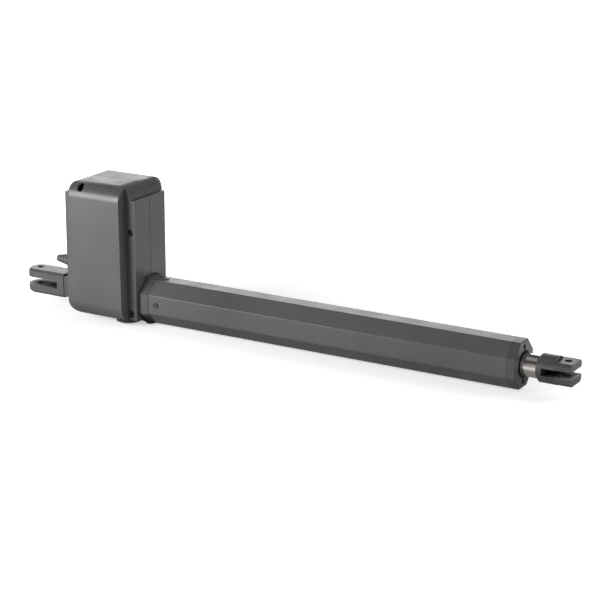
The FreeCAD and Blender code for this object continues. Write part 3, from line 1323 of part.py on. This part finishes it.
# The board that the supply cable's wires are joined to
def terminals():
    plate = box("BoardPlate", ("boardLeft", "boardRight"), ("boardY", "boardY + boardThick"),
                ("boardLow", "boardHigh"))
    ways = [bar(f"BoardWay{index}", "Y", spot, ("boardY - 1", "boardY + boardThick + 1"),
                "boardShank + threadPlay")
            for index, spot in enumerate(boardSpots())]
    finish(cut("Board", plate, *ways), "terminal_board")
    left = "(boardLeft + terminalInset)"
    low = "(boardLow + terminalRise)"
    block = box("TerminalBlank", (left, f"{left} + terminalLong"), ("boardY - terminalDeep", "boardY"),
                (low, f"{low} + terminalTall"))
    mouths = []
    for index in range(int(size("terminalPoles"))):
        middle = f"{left} + terminalLong * {index + 0.5} / terminalPoles"
        mouths.append(box(f"TerminalMouth{index}", (f"{middle} - poleHalf", f"{middle} + poleHalf"),
                          ("boardY - poleTall", "boardY - poleBack"), (low + " - 1", low + " + poleTall")))
        mouths.append(bar(f"TerminalScrewHole{index}", "Y", (middle, low + " + poleScrewRise"),
                          ("boardY - terminalDeep - 1", "boardY - poleTall"), "poleScrew"))
    finish(cut("Terminal", block, *mouths), "terminal_block")
    high = "(boardHigh - capacitorDrop)"
    finish(bar("Capacitor", "Z", ("boardRight - capacitorInset", "boardY - capacitorRadius"),
               (high + " - capacitorLong", high), "capacitorRadius"), "capacitor")
    screws = [screw(f"BoardScrew{index}", "Y", spot, "boardY", "-", "boardHead", "boardHeadHeight",
                    "boardShank", "boardScrewLength", "boardKey") for index, spot in enumerate(boardSpots())]
    finish(group("BoardScrews", screws), "board_screws")


covers()
gearCase()
rearFork()
tube()
frontEnd()
motor()
rotor()
worm()
wormWheel()
clutch()
release()
leadScrew()
bearings()
pushRod()
stops()
cableGland()
terminals()
doc.recompute()
faults = [item.Name for item in doc.Objects if "Invalid" in item.State or "Error" in item.State]
if faults:
    raise SystemExit(f"failed objects: {faults}")
for item in nodes:
    if item.Shape.isNull() or not item.Shape.isValid():
        raise SystemExit(f"bad shape: {item.Label}")
    item.Shape.exportStep(f"parts/{item.Label}.step")
    print(item.Label, len(item.Shape.Solids), round(item.Shape.Volume), item.Shape.BoundBox)
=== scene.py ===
import bmesh
import bpy
import json
import math
from mathutils import Matrix, Vector


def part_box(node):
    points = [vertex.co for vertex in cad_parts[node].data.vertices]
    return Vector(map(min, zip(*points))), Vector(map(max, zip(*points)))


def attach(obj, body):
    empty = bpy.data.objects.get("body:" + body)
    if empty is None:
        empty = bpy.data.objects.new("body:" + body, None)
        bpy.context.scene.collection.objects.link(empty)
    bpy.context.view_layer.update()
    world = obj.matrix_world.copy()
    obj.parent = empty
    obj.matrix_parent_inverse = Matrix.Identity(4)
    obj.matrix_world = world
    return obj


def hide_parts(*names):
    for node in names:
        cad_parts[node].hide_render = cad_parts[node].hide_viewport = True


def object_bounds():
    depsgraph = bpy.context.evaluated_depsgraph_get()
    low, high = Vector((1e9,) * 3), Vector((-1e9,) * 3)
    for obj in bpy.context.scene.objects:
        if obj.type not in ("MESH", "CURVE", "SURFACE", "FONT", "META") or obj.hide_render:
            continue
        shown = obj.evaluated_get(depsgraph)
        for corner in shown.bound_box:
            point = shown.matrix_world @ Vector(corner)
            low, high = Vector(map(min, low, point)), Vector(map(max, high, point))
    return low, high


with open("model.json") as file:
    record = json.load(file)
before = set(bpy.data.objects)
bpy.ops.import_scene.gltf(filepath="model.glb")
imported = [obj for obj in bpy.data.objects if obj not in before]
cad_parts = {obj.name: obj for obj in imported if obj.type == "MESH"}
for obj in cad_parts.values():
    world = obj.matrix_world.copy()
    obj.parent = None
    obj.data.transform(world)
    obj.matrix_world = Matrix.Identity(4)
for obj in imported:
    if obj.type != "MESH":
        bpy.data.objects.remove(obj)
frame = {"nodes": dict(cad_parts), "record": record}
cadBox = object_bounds()
nodes = frame["nodes"]
print("frame loaded:", len(nodes), "nodes")

bpy.context.scene.view_settings.view_transform = "Standard"
mm = 0.001
mixSockets = {"first": 6, "second": 7, "result": 2}    # where a mix node keeps its colours


def placed(name, data):
    item = bpy.data.objects.new(name, data)
    bpy.context.scene.collection.objects.link(item)
    return item


def shaped(name, corners, faces):
    mesh = bpy.data.meshes.new(name)
    mesh.from_pydata(corners, [], faces)
    mesh.update()
    return placed(name, mesh)


# A shader node with some of its sockets and settings filled in
def addNode(tree, kind, values={}, **settings):
    node = tree.nodes.new("ShaderNode" + kind)
    for name, value in settings.items():
        setattr(node, name, value)
    for name, value in values.items():
        node.inputs[name].default_value = value
    return node


# Takes start..end of a value to low..high
def spread(tree, value, low, high, start=0.3, end=0.7):
    span = addNode(tree, "MapRange", {"From Min": start, "From Max": end, "To Min": low, "To Max": high})
    tree.links.new(value, span.inputs["Value"])
    return span.outputs["Result"]


def blendColour(tree, amount, first, second):
    mix = addNode(tree, "Mix", data_type="RGBA")
    tree.links.new(amount, mix.inputs["Factor"])
    for value, place in ((first, "first"), (second, "second")):
        socket = mix.inputs[mixSockets[place]]
        if isinstance(value, tuple):
            socket.default_value = (*value, 1)
        else:
            tree.links.new(value, socket)
    return mix.outputs[mixSockets["result"]]


def blendShaders(tree, amount, first, second):
    mix = addNode(tree, "MixShader")
    for value, socket in zip((amount, first, second), mix.inputs):
        tree.links.new(value, socket)
    return mix.outputs[0]


# Camera and studio

cameraLook = {
    "azimuth": 30.15,            # degrees round from the broad side
    "elevation": 16.84,
    "roll": 0.15,
    "focalPixels": 1961,
    "picturePixels": 600,
    "sensor": 36,
    "capPixel": (523.1, 387.4),  # where the lowest middle of the cap's face lies in the picture
    "distance": 2.5504,          # metres from the camera to the cap, along the view
    "clipEnd": 50,
}


def makeCamera(look):
    azimuth = math.radians(look["azimuth"])
    elevation = math.radians(look["elevation"])
    roll = math.radians(look["roll"])
    ahead = Vector((-math.sin(azimuth) * math.cos(elevation), math.cos(azimuth) * math.cos(elevation),
                    -math.sin(elevation)))
    side = Vector((math.cos(azimuth), math.sin(azimuth), 0))
    rise = side.cross(ahead)
    right = math.cos(roll) * side + math.sin(roll) * rise
    up = math.cos(roll) * rise - math.sin(roll) * side
    low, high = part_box("front_cap")
    target = Vector((high.x, 0, low.z))
    half = look["picturePixels"] / 2
    across = (look["capPixel"][0] - half) * look["distance"] / look["focalPixels"]
    above = (half - look["capPixel"][1]) * look["distance"] / look["focalPixels"]
    data = bpy.data.cameras.new("photoCamera")
    data.lens = look["focalPixels"] / look["picturePixels"] * look["sensor"]
    data.sensor_width = look["sensor"]
    data.clip_end = look["clipEnd"]
    camera = placed("photoCamera", data)
    turn = Matrix((right, up, -ahead)).transposed().to_4x4()
    place = target - across * right - above * up - look["distance"] * ahead
    camera.matrix_world = Matrix.Translation(place) @ turn
    bpy.context.scene.camera = camera


# Each lamp: watts, width, height, place and the point it faces
lamps = {
    "keyLamp": (31, 0.9, 0.8, (-0.66, -1.40, 0.48), (0.16, 0, 0.06)),
    "fillLamp": (11, 1.2, 0.8, (2.10, -1.10, 0.50), (0.16, 0, 0.06)),
    "backLamp": (14.5, 2.2, 0.8, (-0.70, 1.90, 0.66), (0.20, 0, 0.05)),
    "topLamp": (1.5, 1.6, 1.2, (0.35, -0.20, 1.70), (0.35, 0, 0)),
    "sideLamp": (6, 0.7, 0.9, (1.55, 0.60, 0.95), (0.15, 0, 0.06)),
}


def makeLamp(name, power, width, height, spot, target):
    data = bpy.data.lights.new(name, "AREA")
    data.energy = power
    data.shape = "RECTANGLE"
    data.size = width
    data.size_y = height
    lamp = placed(name, data)
    lamp.visible_camera = False
    lamp.location = spot
    lamp.rotation_euler = (Vector(target) - Vector(spot)).to_track_quat("-Z", "Y").to_euler()


roomLight = {
    # light from each height of the room: place on the ramp, then brightness
    "ramp": ((0.0, 0.85), (0.50, 1.0), (0.60, 0.95), (0.70, 0.35), (0.85, 0.15), (1.0, 0.25)),
    "blue": 1.02,
    "strength": 0.45,
}


def makeRoom(values):
    world = bpy.data.worlds.new("studioRoom")
    world.use_nodes = True
    bpy.context.scene.world = world
    tree = world.node_tree
    tree.nodes.clear()
    link = tree.links.new
    split = addNode(tree, "SeparateXYZ")
    link(addNode(tree, "TexCoord").outputs["Generated"], split.inputs[0])
    ramp = addNode(tree, "ValToRGB")
    points = ramp.color_ramp.elements
    while len(points) < len(values["ramp"]):
        points.new(0.5)
    for point, (spot, level) in zip(points, values["ramp"]):
        point.position = spot
        point.color = (level, level, level * values["blue"], 1)
    link(spread(tree, split.outputs["Z"], 0.0, 1.0, -1.0, 1.0), ramp.inputs["Fac"])
    room = addNode(tree, "Background", {"Strength": values["strength"]})
    link(ramp.outputs["Color"], room.inputs["Color"])
    white = addNode(tree, "Background", {"Color": (1, 1, 1, 1)})
    seen = addNode(tree, "LightPath").outputs["Is Camera Ray"]
    surface = blendShaders(tree, seen, room.outputs[0], white.outputs[0])
    link(surface, addNode(tree, "OutputWorld").inputs["Surface"])


floorPaper = {
    "half": 6,
    "seen": 1.0, "unseen": 0.30,                  # its grey for the camera, and for other rays
    "glowNear": 0.45, "glowFar": 1.0,             # white added near the part and away from it
    "glowStart": 0.45, "glowEnd": 0.85, "glowShift": -0.25,
    # painted reflection: a glow that only polished faces see, dim below the tube as painted shadow and bright
    # beside it
    "paintedReflectionUnder": 0.16, "paintedReflectionBeside": 0.90,      # what polished faces see below the tube and beside it
    "paintedReflectionStart": 0.045, "paintedReflectionEnd": 0.14,
}


def makeFloor(values):
    half = values["half"]
    level = cadBox[0].z
    corners = [(-half, -half, level), (half, -half, level), (half, half, level), (-half, half, level)]
    floor = shaped("floorSheet", corners, [(0, 1, 2, 3)])
    material = bpy.data.materials.new("floorPaper")
    material.use_nodes = True
    tree = material.node_tree
    tree.nodes.clear()
    link = tree.links.new
    path = addNode(tree, "LightPath")
    spot = addNode(tree, "TexCoord").outputs["Object"]

    paper = addNode(tree, "BsdfDiffuse")
    tint = blendColour(tree, path.outputs["Is Camera Ray"], (values["unseen"],) * 3, (values["seen"],) * 3)
    link(tint, paper.inputs["Color"])

    offset = addNode(tree, "VectorMath", operation="DISTANCE")
    offset.inputs[1].default_value = ((cadBox[0].x + cadBox[1].x) / 2, values["glowShift"], level)
    link(spot, offset.inputs[0])
    glow = addNode(tree, "Emission")
    link(spread(tree, offset.outputs["Value"], values["glowNear"], values["glowFar"],
                values["glowStart"], values["glowEnd"]), glow.inputs["Strength"])

    # Painted reflection: glossy rays see a glow that is dim in a band under the tube, a painted shadow, and
    # bright beside it
    split = addNode(tree, "SeparateXYZ")
    link(spot, split.inputs[0])
    aside = addNode(tree, "Math", operation="ABSOLUTE")
    link(split.outputs["Y"], aside.inputs[0])
    paintedReflection = addNode(tree, "Emission")
    link(spread(tree, aside.outputs[0], values["paintedReflectionUnder"], values["paintedReflectionBeside"],
                values["paintedReflectionStart"], values["paintedReflectionEnd"]), paintedReflection.inputs["Strength"])
    dark = addNode(tree, "Emission", {"Strength": 0})
    polished = blendShaders(tree, path.outputs["Is Glossy Ray"], dark.outputs[0], paintedReflection.outputs[0])
    added = blendShaders(tree, path.outputs["Is Camera Ray"], polished, glow.outputs[0])
    both = addNode(tree, "AddShader")
    link(paper.outputs[0], both.inputs[0])
    link(added, both.inputs[1])

    # clear from below, so that the underside can be seen
    below = addNode(tree, "NewGeometry").outputs["Backfacing"]
    clear = addNode(tree, "BsdfTransparent")
    surface = blendShaders(tree, below, both.outputs[0], clear.outputs[0])
    link(surface, addNode(tree, "OutputMaterial").inputs["Surface"])
    floor.data.materials.append(material)


makeCamera(cameraLook)
for lampName, lampValues in lamps.items():
    makeLamp(lampName, *lampValues)
makeRoom(roomLight)
makeFloor(floorPaper)
print("camera, lamps and floor made")


# Finishes

def newFinish(name, colour, roughness, metallic=0.0):
    material = bpy.data.materials.new(name)
    material.use_nodes = True
    tree = material.node_tree
    shader = tree.nodes["Principled BSDF"]
    shader.inputs["Base Color"].default_value = (*colour, 1)
    shader.inputs["Roughness"].default_value = roughness
    shader.inputs["Metallic"].default_value = metallic
    return material, tree, shader


def lighter(colour, factor, more=0.0):
    return tuple(min(1, value * factor + more) for value in colour)


def darker(colour, factor):
    return tuple(value * factor for value in colour)


def noise(tree, scale, detail, stretch=(1, 1, 1)):
    place = addNode(tree, "Mapping", {"Scale": stretch})
    grain = addNode(tree, "TexNoise", {"Scale": scale, "Detail": detail})
    tree.links.new(addNode(tree, "TexCoord").outputs["Object"], place.inputs["Vector"])
    tree.links.new(place.outputs["Vector"], grain.inputs["Vector"])
    return grain.outputs["Fac"]


def times(tree, first, second):
    product = addNode(tree, "Math", operation="MULTIPLY")
    tree.links.new(first, product.inputs[0])
    if isinstance(second, float):
        product.inputs[1].default_value = second
    else:
        tree.links.new(second, product.inputs[1])
    return product.outputs[0]


masks = {
    "bevelSamples": 6, "edgeStart": 0.90, "edgeEnd": 0.995,
    "hollowSamples": 8, "hollowStart": 0.12, "hollowEnd": 0.80,
    "upStart": 0.6, "upEnd": 1.0,
}


def roundedNormal(tree, radius):
    soft = addNode(tree, "Bevel", {"Radius": radius}, samples=masks["bevelSamples"])
    return soft.outputs["Normal"]


# Each layer: height, distance and strength; a radius also softens the edges
def bumps(tree, shader, layers, radius=0.0):
    last = roundedNormal(tree, radius) if radius else None
    for value, distance, strength in layers:
        bump = addNode(tree, "Bump", {"Distance": distance, "Strength": strength})
        tree.links.new(value, bump.inputs["Height"])
        if last:
            tree.links.new(last, bump.inputs["Normal"])
        last = bump.outputs["Normal"]
    tree.links.new(last, shader.inputs["Normal"])


# 0 on flats and up to 1 on outer edges, from how far a rounded normal leans off the true one
def edgeMask(tree, radius):
    dot = addNode(tree, "VectorMath", operation="DOT_PRODUCT")
    tree.links.new(roundedNormal(tree, radius), dot.inputs[0])
    tree.links.new(addNode(tree, "NewGeometry").outputs["True Normal"], dot.inputs[1])
    return spread(tree, dot.outputs["Value"], 1.0, 0.0, masks["edgeStart"], masks["edgeEnd"])


# 1 in the open and 0 deep in slots and holes; it paints shade into hollows
def unshadedMask(tree, reach):
    shade = addNode(tree, "AmbientOcclusion", {"Distance": reach}, samples=masks["hollowSamples"])
    return spread(tree, shade.outputs["AO"], 0.0, 1.0, masks["hollowStart"], masks["hollowEnd"])


# 1 on faces that look up
def upMask(tree):
    split = addNode(tree, "SeparateXYZ")
    tree.links.new(addNode(tree, "NewGeometry").outputs["Normal"], split.inputs[0])
    return spread(tree, split.outputs["Z"], 0.0, 1.0, masks["upStart"], masks["upEnd"])


paint = {
    # noises: scale, then detail
    "cloud": (7, 4), "sheen": (30, 5), "dust": (90, 5), "rub": (160, 4), "peel": (420, 2), "grain": (1500, 3),
    "lighter": (1.16, 0.004), "darker": 0.90,
    "peelStrength": 0.5, "grainStrength": 0.55, "grainShare": 0.6,
    "dustColour": (0.34, 0.33, 0.31), "dustShare": 0.10, "dustLeast": 0.1,
    "wearColour": (0.34, 0.34, 0.35), "wearShare": 0.35, "wearRadius": 0.9 * mm, "wearSpan": (0.45, 0.7),
    "paintedHollowShade": 0.22, "paintedGlossStart": 0.4, "paintedGlossMost": 0.5,
}


def paintFinish(name, colour, roughness, grainDepth=0.05 * mm, stretch=(1, 1, 1), paintedShadeReach=2.5 * mm):
    material, tree, shader = newFinish(name, colour, roughness[0])
    link = tree.links.new
    body = blendColour(tree, spread(tree, noise(tree, *paint["cloud"]), 0, 1),
                       darker(colour, paint["darker"]), lighter(colour, *paint["lighter"]))
    dustSpots = spread(tree, noise(tree, *paint["dust"]), paint["dustLeast"], 1.0)
    dust = times(tree, times(tree, upMask(tree), dustSpots), paint["dustShare"])
    dusty = blendColour(tree, dust, body, paint["dustColour"])
    rubSpots = spread(tree, noise(tree, *paint["rub"]), 0, 1, *paint["wearSpan"])
    rub = times(tree, times(tree, edgeMask(tree, paint["wearRadius"]), rubSpots), paint["wearShare"])
    worn = blendColour(tree, rub, dusty, paint["wearColour"])
    # Painted shade: in hollows the colour darkens and the specular level falls, from ambient occlusion
    clear = unshadedMask(tree, paintedShadeReach)
    link(blendColour(tree, clear, darker(colour, paint["paintedHollowShade"]), worn), shader.inputs["Base Color"])
    shadedSpecular = spread(tree, clear, 0.0, paint["paintedGlossMost"], paint["paintedGlossStart"], 1.0)
    link(shadedSpecular, shader.inputs["Specular IOR Level"])
    link(spread(tree, noise(tree, *paint["sheen"]), *roughness), shader.inputs["Roughness"])
    peel = noise(tree, *paint["peel"], stretch)
    grain = noise(tree, *paint["grain"], stretch)
    bumps(tree, shader, [(peel, grainDepth, paint["peelStrength"]),
                         (grain, grainDepth * paint["grainShare"], paint["grainStrength"])])
    return material


metal = {"patches": (70, 5), "streakDetail": 4, "streakStrength": 0.4}


def metalFinish(name, colour, roughness, grain=(1, 1, 1), scale=300, depth=0.02 * mm, stain=0.12,
                radius=0.25 * mm):
    material, tree, shader = newFinish(name, colour, roughness[0], 1.0)
    patches = spread(tree, noise(tree, *metal["patches"]), 0, 1)
    tree.links.new(blendColour(tree, patches, darker(colour, 1 - stain), colour), shader.inputs["Base Color"])
    streak = noise(tree, scale, metal["streakDetail"], grain)
    tree.links.new(spread(tree, streak, *roughness), shader.inputs["Roughness"])
    bumps(tree, shader, [(streak, depth, metal["streakStrength"])], radius)
    return material


plastic = {
    "patches": (40, 4), "sheen": (120, 4), "grainDetail": 2, "grainStrength": 0.5,
    "lighter": (1.25, 0.005), "edgeRadius": 0.25 * mm,
}


def plasticFinish(name, colour, roughness, scale=1800, depth=0.03 * mm):
    material, tree, shader = newFinish(name, colour, roughness[0])
    patches = spread(tree, noise(tree, *plastic["patches"]), 0, 1)
    shades = blendColour(tree, patches, colour, lighter(colour, *plastic["lighter"]))
    tree.links.new(shades, shader.inputs["Base Color"])
    tree.links.new(spread(tree, noise(tree, *plastic["sheen"]), *roughness), shader.inputs["Roughness"])
    grain = noise(tree, scale, plastic["grainDetail"])
    bumps(tree, shader, [(grain, depth, plastic["grainStrength"])], plastic["edgeRadius"])
    return material


bands = {"gapShade": 0.35, "strength": 0.6}


# Thin plates stacked along Z, or turns of wire
def bandedFinish(name, colour, roughness, scale, depth):
    material, tree, shader = newFinish(name, colour, roughness, 1.0)
    wave = addNode(tree, "TexWave", {"Scale": scale}, bands_direction="Z")
    tree.links.new(addNode(tree, "TexCoord").outputs["Object"], wave.inputs["Vector"])
    shades = blendColour(tree, wave.outputs["Fac"], darker(colour, bands["gapShade"]), colour)
    tree.links.new(shades, shader.inputs["Base Color"])
    bumps(tree, shader, [(wave.outputs["Fac"], depth, bands["strength"])])
    return material


board = {
    "roughness": 0.35, "cells": 110, "track": (0.02, 0.06),
    "lighter": 2.2, "depth": 0.04 * mm, "strength": 0.5,
}


# Lacquer with raised tracks along the edges of cells
def boardFinish(name, colour):
    material, tree, shader = newFinish(name, colour, board["roughness"])
    cells = addNode(tree, "TexVoronoi", feature="DISTANCE_TO_EDGE")
    cells.inputs["Scale"].default_value = board["cells"]
    tree.links.new(addNode(tree, "TexCoord").outputs["Object"], cells.inputs["Vector"])
    track = spread(tree, cells.outputs["Distance"], 1.0, 0.0, *board["track"])
    shades = blendColour(tree, track, colour, lighter(colour, board["lighter"]))
    tree.links.new(shades, shader.inputs["Base Color"])
    bumps(tree, shader, [(track, board["depth"], board["strength"])])
    return material


finishes = {
    "cover_paint": paintFinish("coverPaint", (0.076, 0.075, 0.080), (0.32, 0.42)),
    "tube_paint": paintFinish("tubePaint", (0.078, 0.078, 0.081), (0.32, 0.40), 0.04 * mm, (0.3, 1, 1)),
    "cap_plastic": plasticFinish("capNylon", (0.055, 0.055, 0.058), (0.34, 0.44)),
    "cast_paint": paintFinish("castPaint", (0.076, 0.076, 0.079), (0.32, 0.42), 0.04 * mm, paintedShadeReach=26 * mm),
    "cast_bare": metalFinish("bareCasting", (0.58, 0.58, 0.57), (0.42, 0.60), scale=700, depth=0.05 * mm),
    "zinc_steel": metalFinish("zincSteel", (0.62, 0.62, 0.60), (0.26, 0.42)),
    "black_steel": metalFinish("blackSteel", (0.10, 0.10, 0.105), (0.22, 0.36)),
    "rod_steel": metalFinish("polishedRod", (0.66, 0.63, 0.60), (0.10, 0.18), (0.05, 1, 1), 900, 0.008 * mm,
                             0.06, 0.0),
    "ground_steel": metalFinish("groundSteel", (0.55, 0.55, 0.54), (0.20, 0.34), (3, 0.3, 0.3), 500),
    "bronze": metalFinish("castBronze", (0.62, 0.42, 0.20), (0.28, 0.42)),
    "copper": bandedFinish("enamelledCopper", (0.62, 0.27, 0.12), 0.30, 900, 0.15 * mm),
    "rubber": plasticFinish("blackRubber", (0.018, 0.018, 0.018), (0.65, 0.80), 2400, 0.04 * mm),
    "nylon": plasticFinish("naturalNylon", (0.74, 0.72, 0.66), (0.35, 0.50)),
    "black_plastic": plasticFinish("blackPlastic", (0.022, 0.022, 0.024), (0.38, 0.52)),
    "board": boardFinish("circuitBoard", (0.02, 0.14, 0.05)),
    "terminal_plastic": plasticFinish("terminalPlastic", (0.05, 0.28, 0.10), (0.35, 0.45)),
    "magnet": metalFinish("ferrite", (0.11, 0.11, 0.12), (0.45, 0.60)),
    "lamination": bandedFinish("steelSheets", (0.34, 0.34, 0.35), 0.38, 1000, 0.1 * mm),
    "carbon": plasticFinish("carbonBlock", (0.02, 0.02, 0.022), (0.40, 0.60)),
}

# Pieces whose finish differs from the rest of their material
ownFinish = {
    "front_fork": paintFinish("rodForkPaint", (0.052, 0.052, 0.055), (0.34, 0.46), paintedShadeReach=26 * mm),
    "gland_boot": plasticFinish("bootRubber", (0.10, 0.10, 0.10), (0.50, 0.65)),
}

slotOf = {part["node"]: part["material_slot"] for part in frame["record"]["subparts"]}
bodyOf = {name: body for body, members in frame["record"]["behaviour"]["bodies"].items() for name in members}


def dress(item, name):
    item.data.materials.clear()
    item.data.materials.append(ownFinish.get(name, finishes[slotOf[name]]))


for name, item in nodes.items():
    dress(item, name)
print("finishes made:", len(finishes) + len(ownFinish))


# Castings, tube and cap with their edges broken as the tools and the paint leave them

edgeBreaks = {
    "front_cover": {"piece": "frontCoverCasting", "long": 2.4 * mm, "short": 0.4 * mm},
    "rear_cover": {"piece": "rearCoverCasting", "long": 2.4 * mm, "short": 0.4 * mm},
    "tube": {"piece": "tubeExtrusion", "long": 0.9 * mm, "short": 0.2 * mm},
    "front_cap": {"piece": "frontCapMoulding", "long": 0.6 * mm, "short": 0.3 * mm},
    "rear_fork": {"piece": "rearForkCasting", "long": 1.5 * mm, "short": 0.5 * mm},
    "front_fork": {"piece": "frontForkCasting", "long": 0.8 * mm, "short": 0.4 * mm},
    "gear_case": {"piece": "gearCaseCasting", "long": 0.6 * mm, "short": 0.35 * mm},
}
breakRules = {
    "weld": 0.002 * mm, "flatAngle": 0.6,         # corners and faces nearer than this are joined
    "longEdge": 14 * mm, "sharpAngle": 28, "segments": 3,
}


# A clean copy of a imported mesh, with flat faces joined again
def cleanCopy(source, name):
    work = bmesh.new()
    work.from_mesh(source.data)
    bmesh.ops.remove_doubles(work, verts=work.verts, dist=breakRules["weld"])
    flat = math.radians(breakRules["flatAngle"])
    bmesh.ops.dissolve_limit(work, angle_limit=flat, verts=work.verts, edges=work.edges)
    work.verts.index_update()
    corners = [vert.co[:] for vert in work.verts]
    faces = [[vert.index for vert in face.verts] for face in work.faces]
    work.free()
    return shaped(name, corners, faces)


# Long straight edges get the wide break, and the rims of holes the narrow one
def breakEdges(piece, values):
    mesh = piece.data
    sharp = math.radians(breakRules["sharpAngle"])
    work = bmesh.new()
    work.from_mesh(mesh)
    layer = work.edges.layers.float.new("bevel_weight_edge")
    for edge in work.edges:
        if len(edge.link_faces) == 2 and edge.calc_face_angle(0) > sharp:
            long = edge.calc_length() > breakRules["longEdge"]
            edge[layer] = 1.0 if long else values["short"] / values["long"]
    work.to_mesh(mesh)
    work.free()
    bevel = piece.modifiers.new("edgeBreak", "BEVEL")
    bevel.limit_method = "WEIGHT"
    bevel.width = values["long"]
    bevel.segments = breakRules["segments"]
    bevel.harden_normals = True
    bevel.use_clamp_overlap = True
    bevel.miter_outer = "MITER_ARC"
    mesh.shade_smooth()
    mesh.set_sharp_from_angle(angle=sharp)


for name, values in edgeBreaks.items():
    piece = cleanCopy(nodes[name], values["piece"])
    breakEdges(piece, values)
    dress(piece, name)
    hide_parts(name)
    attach(piece, bodyOf[name])
    print("broken edges:", values["piece"], len(piece.data.polygons), "faces")


# The release knob with its fluted rim and the sunk seat of its screw

knobShape = {
    "flutes": 20, "around": 8, "deep": 1.1 * mm, "curve": 2,    # around is the points for each flute
    "neck": 7 * mm, "thick": 3.8 * mm,
    "seat": 4.0 * mm, "seatDeep": 3.0 * mm, "shank": 1.7 * mm,
    "edge": 1.0 * mm, "sharpAngle": 40,
    # the rim's lower and upper turn, in edge widths: in from the rim, off the face, then the flute's share
    "lowerTurn": ((3.2, 0, 0), (2.6, 0.3, 0.3), (0.8, 0.3, 0.6), (0.25, 0.6, 0.9), (0, 1.2, 1)),
    "upperTurn": ((0, 0.9, 1), (0.3, 0.3, 0.9), (1, 0, 0.5)),
}


# A profile turned about the knob's axis, from the screw's shank down, out, up and back
def knobPiece(values):
    low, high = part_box("release_knob")
    middle = (low + high) / 2
    radius = (high.x - low.x) / 2
    edge = values["edge"]
    top = low.z + values["thick"]
    seatFloor = low.z + values["seatDeep"]
    rows = [(values["shank"], seatFloor, 0), (values["seat"], seatFloor, 0), (values["seat"], low.z, 0)]
    for inward, off, share in values["lowerTurn"]:
        rows.append((radius - inward * edge, low.z + off * edge, share))
    for inward, off, share in values["upperTurn"]:
        rows.append((radius - inward * edge, top - off * edge, share))
    rows += [(values["neck"], top, 0), (values["neck"], high.z, 0), (values["shank"], high.z, 0)]
    count = values["flutes"] * values["around"]
    corners = []
    for reach, height, share in rows:
        for index in range(count):
            angle = 2 * math.pi * index / count
            wave = max(0.0, math.cos(angle * values["flutes"])) ** values["curve"]
            out = reach - wave * values["deep"] * share
            corners.append((middle.x + math.cos(angle) * out, middle.y + math.sin(angle) * out, height))
    faces = []
    for row in range(len(rows)):
        start = row * count
        after = (row + 1) % len(rows) * count
        for index in range(count):
            turn = (index + 1) % count
            faces.append((start + index, start + turn, after + turn, after + index))
    grip = shaped("knobGrip", corners, faces)
    work = bmesh.new()
    work.from_mesh(grip.data)
    bmesh.ops.recalc_face_normals(work, faces=work.faces)
    work.to_mesh(grip.data)
    work.free()
    grip.data.shade_smooth()
    grip.data.set_sharp_from_angle(angle=math.radians(values["sharpAngle"]))
    return grip


knobGrip = knobPiece(knobShape)
dress(knobGrip, "release_knob")
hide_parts("release_knob")
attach(knobGrip, bodyOf["release_knob"])
print("knob made:", len(knobGrip.data.polygons), "faces")
